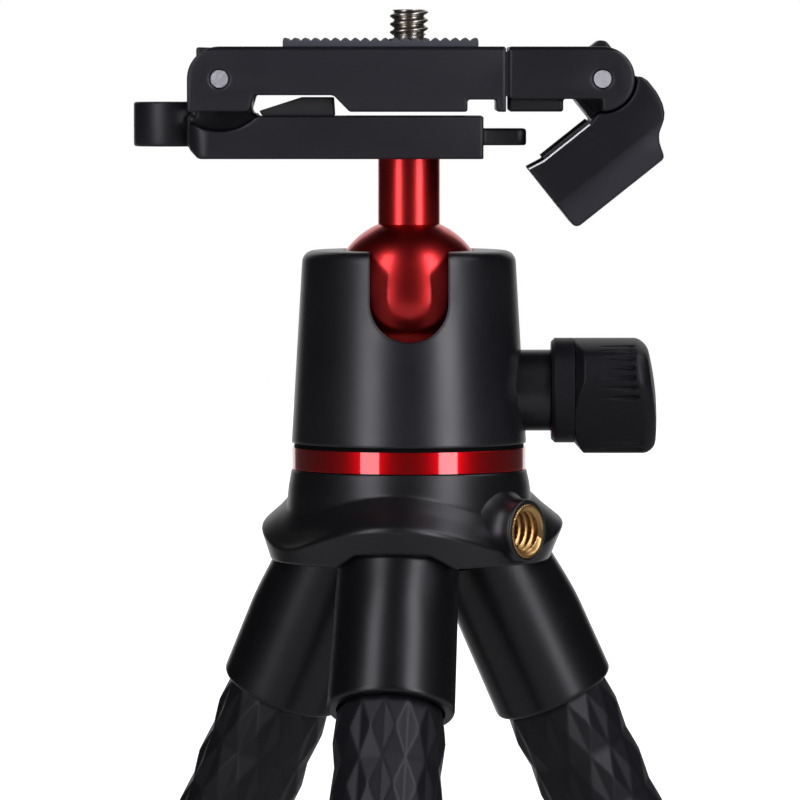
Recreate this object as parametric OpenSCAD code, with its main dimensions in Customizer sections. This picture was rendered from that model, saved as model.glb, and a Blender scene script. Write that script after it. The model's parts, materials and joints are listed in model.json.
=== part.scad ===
// Flexible leg tripod with a ball head and a flip-up phone clamp.
// Millimetres. Origin on the tripod's axis at floor level, +Z up, -Y to the viewer.

/* [Legs] */
// Lean of each leg from the vertical
leg_tilt = 26; // [15:1:35]
// Distance of a leg's axis from the tripod's axis at the hub's bottom
leg_rho = 15; // [15:0.5:17]
// Length of a leg from the hub's bottom to the centre of its foot
leg_len = 183; // [160:1:210]
// Turn of the first leg about the tripod's axis
leg_turn = -96.5; // [-110:0.5:-80]
// Radius of the leg's facets at their peaks
leg_r = 9.1; // [8.8:0.05:9.2]
// Depth of the facets
facet_depth = 0.6; // [0.3:0.05:0.9]
// Half the height of one facet, before the facets are evened out along the leg
facet_h = 4.9; // [4.5:0.1:5.5]
// Radius of the bendable core
core_r = 2; // [1.5:0.1:2.5]
// Radius of the foot
foot_r = 9.3; // [9:0.1:11]
// Length of the foot from the rubber to the centre of its round end
foot_len = 13; // [11:0.5:20]
// Depth of the flat on which a foot stands
foot_flat = 0.5; // [0.3:0.1:0.8]
// Radius of the round seams between the leg's links
seam_r = 12; // [11:0.1:13]
// Width of a seam
seam_gap = 0.3; // [0.2:0.05:0.5]

/* [Leg collars] */
// Radius of a collar at its open end
collar_r = 10; // [9.7:0.1:11]
// Radius of a collar where it enters the hub
collar_neck_r = 8.4; // [8:0.1:8.6]
// Length of a collar below the hub's bottom
collar_len = 25; // [20:0.5:28]
// Height of a collar's seat inside the hub
collar_seat = 2; // [1:0.5:3]
// Radius of the collar screws
collar_screw_r = 2; // [1.5:0.1:2.2]

/* [Hub] */
// Radius of the hub's top, the red ring and the housing's foot
ring_r = 19; // [18.5:0.1:20]
// Height of the hub
hub_h = 14.9; // [14:0.1:16]
// Mean radius of the hub's ridge
ridge_r = 24; // [23.5:0.1:25]
// Swell of the hub's ridge over each leg
ridge_swell = 2; // [1:0.1:2.5]
// Radius of the hub's bottom
hub_foot_r = 22.5; // [22:0.1:23]
// Width of the notch over each leg
leg_notch_w = 18.8; // [16:0.1:20]
// Width of that notch at its top
leg_notch_top = 11.2; // [9:0.1:13]
// Height of the notch over each leg
leg_notch_h = 2.2; // [1.5:0.1:3]
// Radius of the thread insert
insert_r = 4.375; // [4:0.025:4.6]
// Radius of the insert's hole
insert_bore_r = 2.7; // [2.5:0.05:3]
// Length of the insert
insert_len = 9; // [7:0.5:10]
// Radius of the boss round the insert
boss_r = 5.1; // [5:0.1:5.3]

/* [Ball housing] */
// Thickness of the red ring
ring_h = 3.5; // [3:0.1:5]
// Thickness of the pan washer
washer_h = 0.7; // [0.5:0.1:1.5]
// Radius of the housing's top
housing_top_r = 17.2; // [16.8:0.1:18]
// Height of the housing
housing_h = 31.1; // [31:0.1:32]
// Radius of the ball
ball_r = 12.5; // [12:0.1:12.6]
// Height of the ball's centre above the housing's foot
ball_z = 23.86; // [23.6:0.02:24]
// Width of the notch for the stem
notch_w = 12.6; // [11.6:0.1:13]
// Radius of the stem
stem_r = 5; // [4.6:0.1:5.2]
// Height of the stem's top above the ball's centre
stem_h = 22.14; // [22:0.1:26]
// Radius of the pan shaft
shaft_r = 4; // [3:0.1:4.4]

/* [Knob] */
// Height of the knob's axis above the housing's foot
knob_z = 8.4; // [8.2:0.1:8.6]
// Radius of the knob's neck
neck_r = 6.57; // [6.2:0.01:6.8]
// How far the neck stands out past the foot of the housing
neck_l = 3.9; // [2.5:0.1:6]
// Radius of the knob's collar
knob_collar_r = 8.5; // [8:0.1:9]
// Length of the knob's collar
knob_collar_l = 3.7; // [3:0.1:5]
// Radius of the grip at its lobes
grip_r = 10.2; // [9.6:0.1:11]
// Radius of the grip at its flats
grip_flat_r = 8.2; // [7.8:0.1:9]
// Length of the grip
grip_l = 13.4; // [11:0.1:16]
// Radius of the knob's screw
screw_r = 2.5; // [2:0.1:2.8]

/* [Clamp] */
// Half of the clamp's depth
half_d = 14; // [13.6:0.1:16]
// Half of the width of the hinge knuckles
knuckle_w = 7.2; // [6:0.1:7.2]
// Radius of the hinge ears
ear_r = 5.2; // [5:0.05:5.25]
// Radius of the hinge pins
pin_r = 1.5; // [1:0.1:1.8]
// Thickness of the lower bar
bar_h = 6.8; // [6.5:0.1:8]
// Gap between the bar and the plate above it
plate_gap = 0.75; // [0.5:0.05:1]
// Thickness of the plate
plate_h = 10.45; // [10.3:0.05:11.5]
// Where the left pin is, from the stem's axis
pin_left = 30.3; // [30:0.1:33]
// Where the plate ends on the right
plate_right = 15.5; // [15:0.1:17]
// Gap between the plate and the slider
slider_gap = 0.5; // [0.3:0.1:1]
// Length of the slider from its left end to its pin
slider_l = 14.9; // [14.6:0.1:17]
// Thickness of the rubber pad on the plate
pad_h = 1.4; // [1:0.1:2]
// Length of the rubber pad
pad_l = 31.3; // [28:0.1:34]
// Height of the camera screw above the pad
cam_h = 4.6; // [4:0.1:6]
// Radius of the camera screw
cam_r = 3.1; // [2.8:0.05:3.2]
// Radius of the guide rods
rod_r = 1.5; // [1:0.1:1.7]
// Travel of the slider
travel = 25; // [15:1:26]
// Fold of the jaw in the photographed pose
jaw_angle = 38.5; // [5:0.5:60]
// Length of the jaw from its pin to its tip
jaw_l = 18.2; // [17.5:0.1:18.4]
// Depth of the jaw from its pin to its back
jaw_d = 16.1; // [15:0.1:18]

/* [Fits] */
// Radial clearance of a turning or sliding fit
run_fit = 0.05; // [0.02:0.01:0.1]
// Clearance between pieces that pass each other
clear = 0.3; // [0.2:0.05:0.4]

/* [Hidden] */
$fn = 64;
eps = 0.01;

// Leg layout: rows of half facets counted from the collar, and where the links meet
columns = 14;
links = 5;
root_rows = 3;
least_tip = 3;
seat_depth = 6;
core_start = seat_depth;
rubber_start = core_start + 2;
facet_start = collar_len + 0.5;
facet_rows = 2 * round((leg_len - foot_len - facet_start) / (2 * facet_h));
facet_step = (leg_len - foot_len - facet_start) / facet_rows;
link_rows = 2 * floor((facet_rows - root_rows - least_tip) / (2 * (links - 1)));
function row_s(m) = facet_start + m * facet_step;
joint_1 = row_s(root_rows);
joint_pitch = link_rows * facet_step;
tip_end = row_s(facet_rows);
spigot_r = leg_r - facet_depth - 0.5;
spigot_l = 10;
screw_head_h = 3;

// Heights
hub_z = leg_len * cos(leg_tilt) + foot_r - foot_flat;
ring_z = hub_z + hub_h;
housing_z = ring_z + ring_h + washer_h;
centre_z = housing_z + ball_z;
axis_z = housing_z + knob_z;
bar_z = centre_z + stem_h;
bar_top = bar_z + bar_h;
plate_z = bar_top + plate_gap;
plate_top = plate_z + plate_h;
pin_z = plate_top - ear_r;
rod_z = plate_z + 6.6;
rod_y = half_d - 4.2;
slider_x = plate_right + slider_gap;
pin_right = slider_x + slider_l;
slider_z = plate_z + 2.05;

// Inside the housing
plug_h = 4.1;
plug_r = 14;
web_h = 1.5;
head_r = 6;
cavity_r = ball_r + 0.2;
cup_drop = 8;
socket_r = ball_r + 0.15;
mouth_r = 10.7;
wedge_rise = 0.2;
wedge_low = 2.6;
wedge_w = 6;
wedge_in = 5;
wedge_out = 11;
wedge_top = 11.2;

// Clamp details
ear_gap = knuckle_w + clear;
sweep_r = 8.4;
spring_r = rod_r + 1.1;
rod_left = -23.5;
spring_right = plate_right - 2.5;
foot_w = 9;
channel_w = foot_w + 0.5;
tongue_w = 5;
tab_w = 6;
cam_head_r = 5.5;
cam_head_h = 2.5;
journal_r = cam_r + 0.2;

leg_names = ["front", "right", "left"];

// Places its children on leg i, with +Z down along the leg from the hub's bottom
module on_leg(i) {
  rotate([0, 0, leg_turn + 120 * i])
    translate([leg_rho, 0, hub_z])
      rotate([0, 180 - leg_tilt, 0]) children();
}

// Turns a profile drawn in X and Z into a solid between two depths
module depth(y0, y1) {
  translate([0, y1, 0]) rotate([90, 0, 0]) linear_extrude(y1 - y0) children();
}

// A cylinder along X between two places
module along_x(x0, x1, r) {
  translate([x0, 0, 0]) rotate([0, 90, 0]) cylinder(h = x1 - x0, r = r);
}

// A cylinder along Y between two places
module along_y(y0, y1, r) {
  translate([0, y1, 0]) rotate([90, 0, 0]) cylinder(h = y1 - y0, r = r);
}

// Closed skin over a stack of equal rings of points, the first one uppermost along -Z
module skin(rings) {
  n = len(rings[0]);
  m = len(rings);
  points = [for (ring = rings) for (p = ring) p];
  sides = [for (j = [0:m - 2]) for (i = [0:n - 1])
    let (a = j * n + i, b = j * n + (i + 1) % n, c = a + n, d = b + n, odd = (i + j) % 2)
    each (odd == 0 ? [[a, b, d], [a, d, c]] : [[a, b, c], [b, d, c]])];
  polyhedron(concat(points, [ring_centre(rings[0]), ring_centre(rings[m - 1])]),
    concat(sides, [for (i = [0:n - 1]) [m * n, (i + 1) % n, i]],
      [for (i = [0:n - 1]) [m * n + 1, (m - 1) * n + i, (m - 1) * n + (i + 1) % n]]));
}

// Middle of a ring of points
function ring_centre(ring) = [for (k = [0:2]) sum([for (p = ring) p[k]]) / len(ring)];

// Sum of a list of numbers
function sum(v, i = 0) = i >= len(v) ? 0 : v[i] + sum(v, i + 1);

// One ring of points on the leg, turned by a part of a column
function leg_ring(m, r, turn) = [for (k = [0:columns - 1])
  let (t = 360 * (k + turn) / columns)
  [r * cos(t), r * sin(t), row_s(m)]];

// The faceted rubber between two even rows: each cell of a grid rises to a low peak at its middle
module leg_rubber(m0, m1) {
  n = columns;
  cells = (m1 - m0) / 2;
  peak = n * (cells + 1);
  last = peak + n * cells;
  points = concat([for (j = [0:cells]) each leg_ring(m0 + 2 * j, leg_r - facet_depth, 0)],
    [for (j = [0:cells - 1]) each leg_ring(m0 + 2 * j + 1, leg_r, 0.5)],
    [[0, 0, row_s(m0)], [0, 0, row_s(m1)]]);
  sides = [for (j = [0:cells - 1]) for (k = [0:n - 1])
    let (a = j * n + k, b = j * n + (k + 1) % n, c = a + n, d = b + n, p = peak + a)
    each [[a, c, p], [c, d, p], [d, b, p], [b, a, p]]];
  ends = [for (k = [0:n - 1]) each [[last, k, (k + 1) % n],
    [last + 1, cells * n + (k + 1) % n, cells * n + k]]];
  polyhedron(points, concat(sides, ends));
}

// What is cut off below a link so that it ends in a round nose
module nose_cut(s) {
  translate([0, 0, s]) difference() {
    cylinder(h = 2 * seam_r, r = 2 * seam_r);
    sphere(r = seam_r);
  }
}

// What is cut out of the top of a link for the nose above it
module cup_cut(s) {
  translate([0, 0, s]) sphere(r = seam_r + seam_gap);
}

// Bore for the bendable core
module core_bore(s0, s1) {
  translate([0, 0, s0]) cylinder(h = s1 - s0, r = core_r + clear);
}

// Hub: one formula gives each ring of its outline, with a swell over each leg
hub_sides = 48;
function hub_wave(t) = cos(3 * (t - leg_turn));
function hub_ring(r, swell, z, rise) = [for (k = [0:hub_sides - 1])
  let (t = leg_turn + 360 * k / hub_sides, w = hub_wave(t))
  [(r + swell * w) * cos(t), (r + swell * w) * sin(t), z + rise * w]];

module hub_blank() {
  translate([0, 0, ring_z]) skin([
    hub_ring(ring_r, 0, 0, 0),
    hub_ring(ring_r + 0.5, 0, -2.6, 1),
    hub_ring(ring_r + 0.8, 0, -5.2, 1.9),
    hub_ring((ring_r + ridge_r) / 2, ridge_swell / 2, -7.6, 1.95),
    hub_ring(ridge_r - 0.5, ridge_swell, -9.9, 2),
    hub_ring(ridge_r, ridge_swell, -10.6, 2),
    hub_ring(hub_foot_r, ridge_swell / 4, -hub_h, 0)]);
}

insert_turn = leg_turn + 60;
insert_face = ridge_r - 0.3;
insert_z = -9.35;

module on_insert() {
  rotate([0, 0, insert_turn]) translate([0, 0, ring_z + insert_z]) children();
}

module hub() {
  color("#26262b") difference() {
    union() {
      hub_blank();
      on_insert() along_x(leg_rho, insert_face, boss_r);
    }
    translate([0, 0, ring_z - hub_h + 3]) cylinder(h = hub_h, r = shaft_r);
    on_insert() along_x(insert_face - insert_len, insert_face + 5, insert_r);
    for (i = [0:2]) {
      on_leg(i) {
        translate([0, 0, -collar_seat]) cylinder(h = 2 * hub_h, r = collar_neck_r);
        translate([0, 0, -seat_depth - hub_h]) cylinder(h = hub_h, r = 2 * collar_screw_r);
        translate([0, 0, -hub_h]) cylinder(h = hub_h, r = collar_screw_r);
      }
      rotate([0, 0, leg_turn + 120 * i])
        translate([leg_rho, 0, hub_z]) rotate([90, 0, 90]) linear_extrude(20)
          polygon([[-leg_notch_w / 2, -1], [leg_notch_w / 2, -1], [leg_notch_w / 2, 0],
            [leg_notch_top / 2, leg_notch_h], [-leg_notch_top / 2, leg_notch_h], [-leg_notch_w / 2, 0]]);
    }
  }
}

module pan_ring() {
  color("#d0202a") translate([0, 0, ring_z]) difference() {
    cylinder(h = ring_h, r = ring_r);
    translate([0, 0, -1]) cylinder(h = ring_h + 2, r = shaft_r);
  }
}

module pan_washer() {
  color("#101010") translate([0, 0, ring_z + ring_h]) difference() {
    cylinder(h = washer_h, r = ring_r - 0.4);
    translate([0, 0, -1]) cylinder(h = washer_h + 2, r = shaft_r + clear);
  }
}

module pan_shaft() {
  color("#b0b0b0") {
    translate([0, 0, ring_z - hub_h + 3])
      cylinder(h = hub_h - 3 + ring_h + washer_h + web_h + 0.1 + eps, r = shaft_r);
    translate([0, 0, housing_z + web_h + 0.1]) cylinder(h = plug_h - web_h - 0.2, r = head_r);
  }
}

module thread_insert() {
  color("#c9a55a") on_insert() difference() {
    along_x(insert_face - insert_len, insert_face, insert_r);
    along_x(insert_face - insert_len - 1, insert_face + 1, insert_bore_r);
  }
}

module collar_screws() {
  color("#a0a0a0") for (i = [0:2]) on_leg(i) {
    translate([0, 0, -seat_depth - screw_head_h]) {
      cylinder(h = screw_head_h + seat_depth + core_start - 1, r = collar_screw_r);
      cylinder(h = screw_head_h, r = 2 * collar_screw_r);
    }
  }
}

module leg_collar(i) {
  color("#2b2b30") on_leg(i) difference() {
    union() {
      translate([0, 0, -collar_seat]) cylinder(h = collar_seat + 2, r = collar_neck_r);
      translate([0, 0, 2]) cylinder(h = 12, r1 = collar_neck_r, r2 = collar_r - 0.1);
      translate([0, 0, 14]) cylinder(h = collar_len - 15, r1 = collar_r - 0.1, r2 = collar_r);
      translate([0, 0, collar_len - 1]) cylinder(h = 1, r1 = collar_r, r2 = collar_r - 0.5);
    }
    translate([0, 0, -collar_seat - 1]) cylinder(h = core_start + collar_seat, r = collar_screw_r);
    translate([0, 0, core_start]) cylinder(h = 5, r = core_r);
    translate([0, 0, rubber_start]) cylinder(h = collar_len, r = spigot_r);
  }
}

module leg_core(i) {
  color("#c0c0c0") on_leg(i) translate([0, 0, core_start])
    cylinder(h = tip_end + spigot_l - 2 - core_start, r = core_r);
}

module leg_root(i) {
  color("#1c1c20") on_leg(i) difference() {
    union() {
      translate([0, 0, rubber_start]) cylinder(h = facet_start - rubber_start + 1, r = spigot_r);
      leg_rubber(0, root_rows + least_tip);
    }
    core_bore(0, joint_1 + 2 * seam_r);
    nose_cut(joint_1);
  }
}

module leg_link(n, i) {
  s0 = joint_1 + (n - 1) * joint_pitch;
  m0 = root_rows + (n - 1) * link_rows;
  color("#1c1c20") on_leg(i) difference() {
    leg_rubber(m0 + 1, m0 + link_rows + least_tip);
    core_bore(s0, s0 + joint_pitch + 2 * seam_r);
    cup_cut(s0);
    nose_cut(s0 + joint_pitch);
  }
}

module leg_tip(i) {
  s0 = joint_1 + (links - 1) * joint_pitch;
  m0 = root_rows + (links - 1) * link_rows;
  color("#1c1c20") on_leg(i) difference() {
    union() {
      leg_rubber(m0 + 1, facet_rows);
      translate([0, 0, tip_end - 1]) cylinder(h = spigot_l + 1, r = spigot_r);
    }
    core_bore(s0, tip_end + spigot_l - 2 + clear);
    cup_cut(s0);
  }
}

module foot(i) {
  color("#18181a") difference() {
    on_leg(i) difference() {
      union() {
        translate([0, 0, tip_end]) cylinder(h = 1, r1 = foot_r - 0.6, r2 = foot_r);
        translate([0, 0, tip_end + 1]) cylinder(h = leg_len - tip_end - 1, r = foot_r);
        translate([0, 0, leg_len]) sphere(r = foot_r);
      }
      translate([0, 0, tip_end - 1]) cylinder(h = spigot_l + 1, r = spigot_r);
    }
    translate([0, 0, -20]) cylinder(h = 20, r = 2 * leg_len);
  }
}

// Outline of the housing with its rounded top edge
module housing_outline() {
  e = 2;
  side = housing_top_r + (ring_r - housing_top_r) * e / housing_h;
  polygon(concat([[0, 0], [ring_r, 0]],
    [for (t = [0:15:90]) [side - e + e * cos(t), housing_h - e + e * sin(t)]], [[0, housing_h]]));
}

module housing() {
  color("#232327") translate([0, 0, housing_z]) difference() {
    rotate_extrude() housing_outline();
    translate([0, 0, ball_z]) sphere(r = socket_r);
    translate([0, 0, -1]) cylinder(h = plug_h + 1, r = plug_r);
    cylinder(h = ball_z, r = cavity_r);
    translate([0, 0, ball_z]) cylinder(h = housing_h, r = mouth_r);
    translate([0, 0, ball_z - 0.86]) along_y(-2 * ring_r, 0, notch_w / 2);
    translate([-notch_w / 2, -2 * ring_r, ball_z - 0.86]) cube([notch_w, 2 * ring_r, housing_h]);
    translate([0, 0, knob_z]) along_x(0, 2 * ring_r, neck_r);
  }
}

module base_plug() {
  color("#55555a") translate([0, 0, housing_z]) difference() {
    cylinder(h = plug_h, r = plug_r);
    translate([0, 0, -1]) cylinder(h = plug_h + 2, r = shaft_r + run_fit);
    translate([0, 0, web_h]) cylinder(h = plug_h, r = head_r + clear);
  }
}

neck_in = plug_r + clear;
neck_x = ring_r + neck_l;
flange_in = 11.6;
flange_r = screw_r + 1.7;

module knob_neck() {
  color("#232327") translate([0, 0, axis_z]) difference() {
    along_x(neck_in, neck_x, neck_r);
    along_x(neck_in - 1, neck_x + 1, screw_r + run_fit);
  }
}

// The wedge's sloping top, as a height above the housing's foot
function wedge_z(x) = plug_h + wedge_low + wedge_rise * x;

module clamp_wedge() {
  color("#b08d57") translate([0, 0, housing_z]) difference() {
    union() {
      depth(-wedge_w, wedge_w) polygon([[-9, plug_h], [wedge_in + 1, plug_h],
        [wedge_in + 1, wedge_z(wedge_in)], [wedge_in, wedge_z(wedge_in)], [-9, wedge_z(-9)]]);
      translate([wedge_in, -wedge_w, plug_h])
        cube([wedge_out - wedge_in, 2 * wedge_w, wedge_top - plug_h]);
    }
    translate([0, 0, knob_z]) along_x(wedge_in, wedge_out + 1, screw_r + run_fit);
  }
}

module ball_cup() {
  lift = 0.1;
  wide = 2 * cavity_r;
  color("#e8e4d8") translate([0, 0, housing_z]) difference() {
    intersection() {
      translate([0, 0, plug_h]) cylinder(h = ball_z - plug_h - cup_drop, r = cavity_r - clear);
      depth(-wide, wide) polygon([[-wide, wedge_z(-wide) + lift], [wide, wedge_z(wide) + lift],
        [wide, ball_z], [-wide, ball_z]]);
    }
    translate([0, 0, ball_z]) sphere(r = ball_r + 0.25);
    translate([wedge_in - 1.3, -wedge_w - clear, 0])
      cube([wide, 2 * (wedge_w + clear), wedge_top + 0.5]);
    translate([0, 0, knob_z]) along_x(flange_in - 2 * clear, wide, flange_r + 2 * clear);
  }
}

knob_gap = 0.1;
collar_in = neck_x + knob_gap;
grip_in = collar_in + knob_collar_l;
grip_turn = -54;

module knob_collar() {
  color("#1f1f22") translate([0, 0, axis_z]) difference() {
    union() {
      along_x(collar_in + 0.6, grip_in, knob_collar_r);
      translate([collar_in, 0, 0]) rotate([0, 90, 0])
        cylinder(h = 0.6, r1 = knob_collar_r - 0.6, r2 = knob_collar_r);
    }
    along_x(collar_in - 1, grip_in + 1, screw_r);
  }
}

// Outline of the grip: three lobes between three gently bowed flats
module grip_outline() {
  bow = 2.2 * grip_r;
  intersection() {
    circle(r = grip_r);
    for_flats() translate([grip_flat_r - bow, 0]) circle(r = bow);
  }
}

// Three copies of a shape that all have to overlap
module for_flats() {
  intersection() {
    rotate(0) children();
    rotate(120) children();
    rotate(240) children();
  }
}

module knob_grip() {
  dome = 34;
  grooves = 8;
  groove_angle = 7.2;
  color("#161618") translate([grip_in, 0, axis_z]) difference() {
    intersection() {
      rotate([grip_turn, 0, 0]) rotate([0, 90, 0]) linear_extrude(grip_l) grip_outline();
      translate([grip_l - dome, 0, 0]) sphere(r = dome);
      translate([-grip_r + 3, 0, 0]) rotate([0, 90, 0])
        cylinder(h = grip_l + grip_r, r1 = 0, r2 = grip_l + grip_r);
    }
    along_x(-1, grip_l - 4, screw_r);
    for (f = [0:2], g = [0:grooves - 1])
      rotate([grip_turn + 60 + 120 * f + groove_angle * (g - (grooves - 1) / 2), 0, 0])
        translate([3.5, 0, -grip_r - 0.12]) along_x(0, grip_l - 6, 0.35);
  }
}

module knob_screw() {
  color("#b8b8b8") translate([0, 0, axis_z]) {
    along_x(wedge_in + 0.5, grip_in + grip_l - 4, screw_r);
    along_x(flange_in, neck_in - knob_gap, flange_r);
  }
}

module ball_stem() {
  color("#b3202a") translate([0, 0, centre_z]) difference() {
    union() {
      sphere(r = ball_r);
      cylinder(h = stem_h, r = stem_r);
    }
    translate([0, 0, stem_h - 9]) cylinder(h = 10, r = bolt_r);
  }
}

bolt_r = 2.5;
bolt_head_r = 4.3;
bolt_seat = 2.8;

module stem_bolt() {
  color("#c0c0c0") translate([0, 0, bar_z]) difference() {
    union() {
      translate([0, 0, -9]) cylinder(h = 9 + bolt_seat + run_fit + eps, r = bolt_r);
      translate([0, 0, bolt_seat + run_fit]) cylinder(h = 3.4, r = bolt_head_r);
    }
    translate([0, 0, bolt_seat + 1.6]) cylinder(h = 5, r = 2.2, $fn = 6);
  }
}

bar_left = pin_left + 5;
bar_right = 11.9;
bar_round = 3.5;
tongue_l = 7;
tab_l = 9.2;

module base_bar() {
  color("#26262a") difference() {
    union() {
      difference() {
        intersection() {
          depth(-half_d, half_d) polygon([[-bar_left + 1.6, bar_z], [bar_right, bar_z],
            [bar_right, bar_top], [-bar_left, bar_top], [-bar_left, bar_z + 1.6]]);
          translate([0, 0, bar_z - 1]) linear_extrude(bar_h + 2) union() {
            translate([-bar_left + bar_round, -half_d]) square([bar_left + bar_right + 1, 2 * half_d]);
            translate([-bar_left, -half_d + bar_round]) square([2 * bar_round, 2 * half_d - 2 * bar_round]);
            for (s = [-1, 1]) translate([-bar_left + bar_round, s * (half_d - bar_round)]) circle(r = bar_round);
          }
        }
        translate([-pin_left, 0, pin_z]) along_y(-2 * half_d, 2 * half_d, sweep_r);
      }
      depth(-knuckle_w, knuckle_w) union() {
        polygon([[-bar_left, bar_z + 2], [-pin_left + 6, bar_z + 2],
          [-pin_left + 6, bar_top], [-pin_left + ear_r - 0.2, bar_top + 0.8],
          [-pin_left + ear_r - 0.2, pin_z], [-pin_left, plate_top - 0.2],
          [-pin_left - 3.9, plate_top - 0.1], [-pin_left - 3.9, bar_top], [-bar_left, bar_top]]);
        translate([-pin_left, pin_z]) circle(r = ear_r - 0.1);
      }
      translate([bar_right - 1, 0, bar_z + 2.1]) linear_extrude(2.7) union() {
        translate([0, -tongue_w]) square([tongue_l - 0.5, 2 * tongue_w]);
        translate([0, -tongue_w + 1.5]) square([tongue_l + 1, 2 * tongue_w - 3]);
        for (s = [-1, 1]) translate([tongue_l - 0.5, s * (tongue_w - 1.5)]) circle(r = 1.5);
      }
      translate([-bar_left, 0, bar_z + 1.9]) linear_extrude(7.2) union() {
        translate([-tab_l + tab_w, 0]) circle(r = tab_w);
        translate([-tab_l + tab_w, -tab_w + 1]) square([tab_l - tab_w + 2, 2 * tab_w - 2]);
      }
    }
    translate([-pin_left, 0, pin_z]) along_y(-half_d, half_d, pin_r + run_fit);
    translate([0, 0, bar_z - 1]) cylinder(h = bar_h + 2, r = bolt_r + run_fit);
    translate([0, 0, bar_z + bolt_seat]) cylinder(h = bar_h, r = bolt_head_r + clear);
  }
}

module lower_jaw_pad() {
  color("#1a1a1c") depth(-half_d + 2, half_d - 2) polygon([[-24 + 0.6, bar_top], [-12, bar_top],
    [-12.2, bar_top + 3], [-17.5, bar_top + 3], [-24, bar_top + 0.9]]);
}

// The plate's side, with its round ear, the recess over the pad and the notch at the right
module plate_outline() {
  difference() {
    union() {
      translate([-pin_left, plate_z]) square([pin_left + plate_right, plate_h]);
      translate([-pin_left - ear_r, plate_z]) square([ear_r + 1, pin_z - plate_z]);
      translate([-pin_left, pin_z]) circle(r = ear_r);
    }
    polygon([[-25.6, plate_z - 1], [-25.6, plate_z], [-24.8, plate_z + 2.65],
      [-12.1, plate_z + 2.65], [-9.5, plate_z], [-9.5, plate_z - 1]]);
    translate([plate_right - 6.15, plate_z - 1]) square([4.65, 2.95]);
  }
}

module top_plate() {
  screw_seat = cam_head_h + 3.2;
  color("#232328") difference() {
    depth(-half_d, half_d) plate_outline();
    translate([-pin_left - 20, -ear_gap, plate_z - 1]) cube([20 + ear_r + clear, 2 * ear_gap, plate_h + 2]);
    translate([-pin_left, 0, pin_z]) along_y(-half_d - 1, half_d + 1, pin_r);
    for (s = [-1, 1]) translate([0, s * rod_y, rod_z]) {
      along_x(rod_left - 1, spring_right, spring_r);
      along_x(rod_left, plate_right + 1, rod_r + run_fit);
    }
    translate([0, 0, plate_z - 1]) cylinder(h = plate_h + 2, r = journal_r + run_fit);
    translate([0, 0, plate_z - 1]) cylinder(h = screw_seat + 1, r = cam_head_r + clear);
  }
}

module ribbed_pad() {
  pitch = 1.6;
  start = -20.2;
  ribs = floor(pad_l / pitch);
  color("#77777c") difference() {
    translate([start, -half_d + 1, plate_top]) cube([pad_l, 2 * half_d - 2, pad_h]);
    for (k = [0:ribs - 1])
      depth(-half_d, half_d) polygon([[start + pitch * k + 0.75, plate_top + pad_h + 0.1],
        [start + pitch * k + 1.05, plate_top + pad_h - 0.5],
        [start + pitch * k + 1.35, plate_top + pad_h - 0.5],
        [start + pitch * k + 1.65, plate_top + pad_h + 0.1]]);
    translate([0, 0, plate_top - 1]) cylinder(h = pad_h + 2, r = journal_r + clear);
  }
}

module hinge_pin_left() {
  color("#c8c8c8") translate([-pin_left, 0, pin_z]) along_y(-half_d, half_d, pin_r);
}

module screw_clip() {
  color("#909090") translate([0, 0, plate_z + 2.1]) difference() {
    cylinder(h = 1, r = cam_head_r + clear);
    translate([0, 0, -1]) cylinder(h = 3, r = cam_head_r - 1.2);
  }
}

module return_springs() {
  color("#a8a8a8") for (s = [-1, 1]) translate([0, s * rod_y, rod_z]) difference() {
    along_x(rod_left + 1.5, spring_right, spring_r - 0.1);
    along_x(rod_left, spring_right + 1, rod_r + 0.4);
  }
}

module camera_screw() {
  chamfer = 0.6;
  color("#d4d4d8") difference() {
    union() {
      translate([0, 0, plate_z + 3.15]) cylinder(h = cam_head_h, r = cam_head_r);
      translate([0, 0, plate_z + 4]) cylinder(h = plate_h - 4 + pad_h, r = journal_r);
      translate([0, 0, plate_top]) cylinder(h = pad_h + cam_h - chamfer, r = cam_r);
      translate([0, 0, plate_top + pad_h + cam_h - chamfer])
        cylinder(h = chamfer, r1 = cam_r, r2 = cam_r - chamfer);
    }
    translate([-0.7, -10, plate_z]) cube([1.4, 20, 4.4]);
  }
}

module slider_block() {
  color("#242428") difference() {
    union() {
      depth(-half_d, half_d) union() {
        translate([slider_x, slider_z]) square([slider_l, plate_top - slider_z]);
        intersection() {
          translate([pin_right, pin_z]) circle(r = ear_r);
          translate([pin_right, pin_z - ear_r - 1]) square(2 * ear_r + 2);
        }
      }
      translate([slider_x, -foot_w, plate_z]) cube([8.75, 2 * foot_w, 3]);
    }
    translate([pin_right - ear_r - 2 * clear, -ear_gap, plate_z - 1])
      cube([20, 2 * ear_gap, plate_h + 2]);
    translate([pin_right, 0, pin_z]) along_y(-half_d - 1, half_d + 1, pin_r);
    for (s = [-1, 1]) translate([0, s * rod_y, rod_z]) along_x(slider_x - 1, slider_x + 8, rod_r);
  }
}

module guide_rods() {
  color("#bdbdbd") for (s = [-1, 1]) translate([0, s * rod_y, rod_z]) {
    along_x(rod_left, slider_x + 8, rod_r);
    along_x(rod_left, rod_left + 1.5, spring_r - 0.1);
  }
}

module hinge_pin_right() {
  color("#c8c8c8") translate([pin_right, 0, pin_z]) along_y(-half_d, half_d, pin_r);
}

// Places a profile drawn for the folded jaw, with its pin at the origin, in the photographed pose
module on_jaw() {
  translate([pin_right, 0, pin_z]) rotate([0, -jaw_angle, 0]) children();
}

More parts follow.
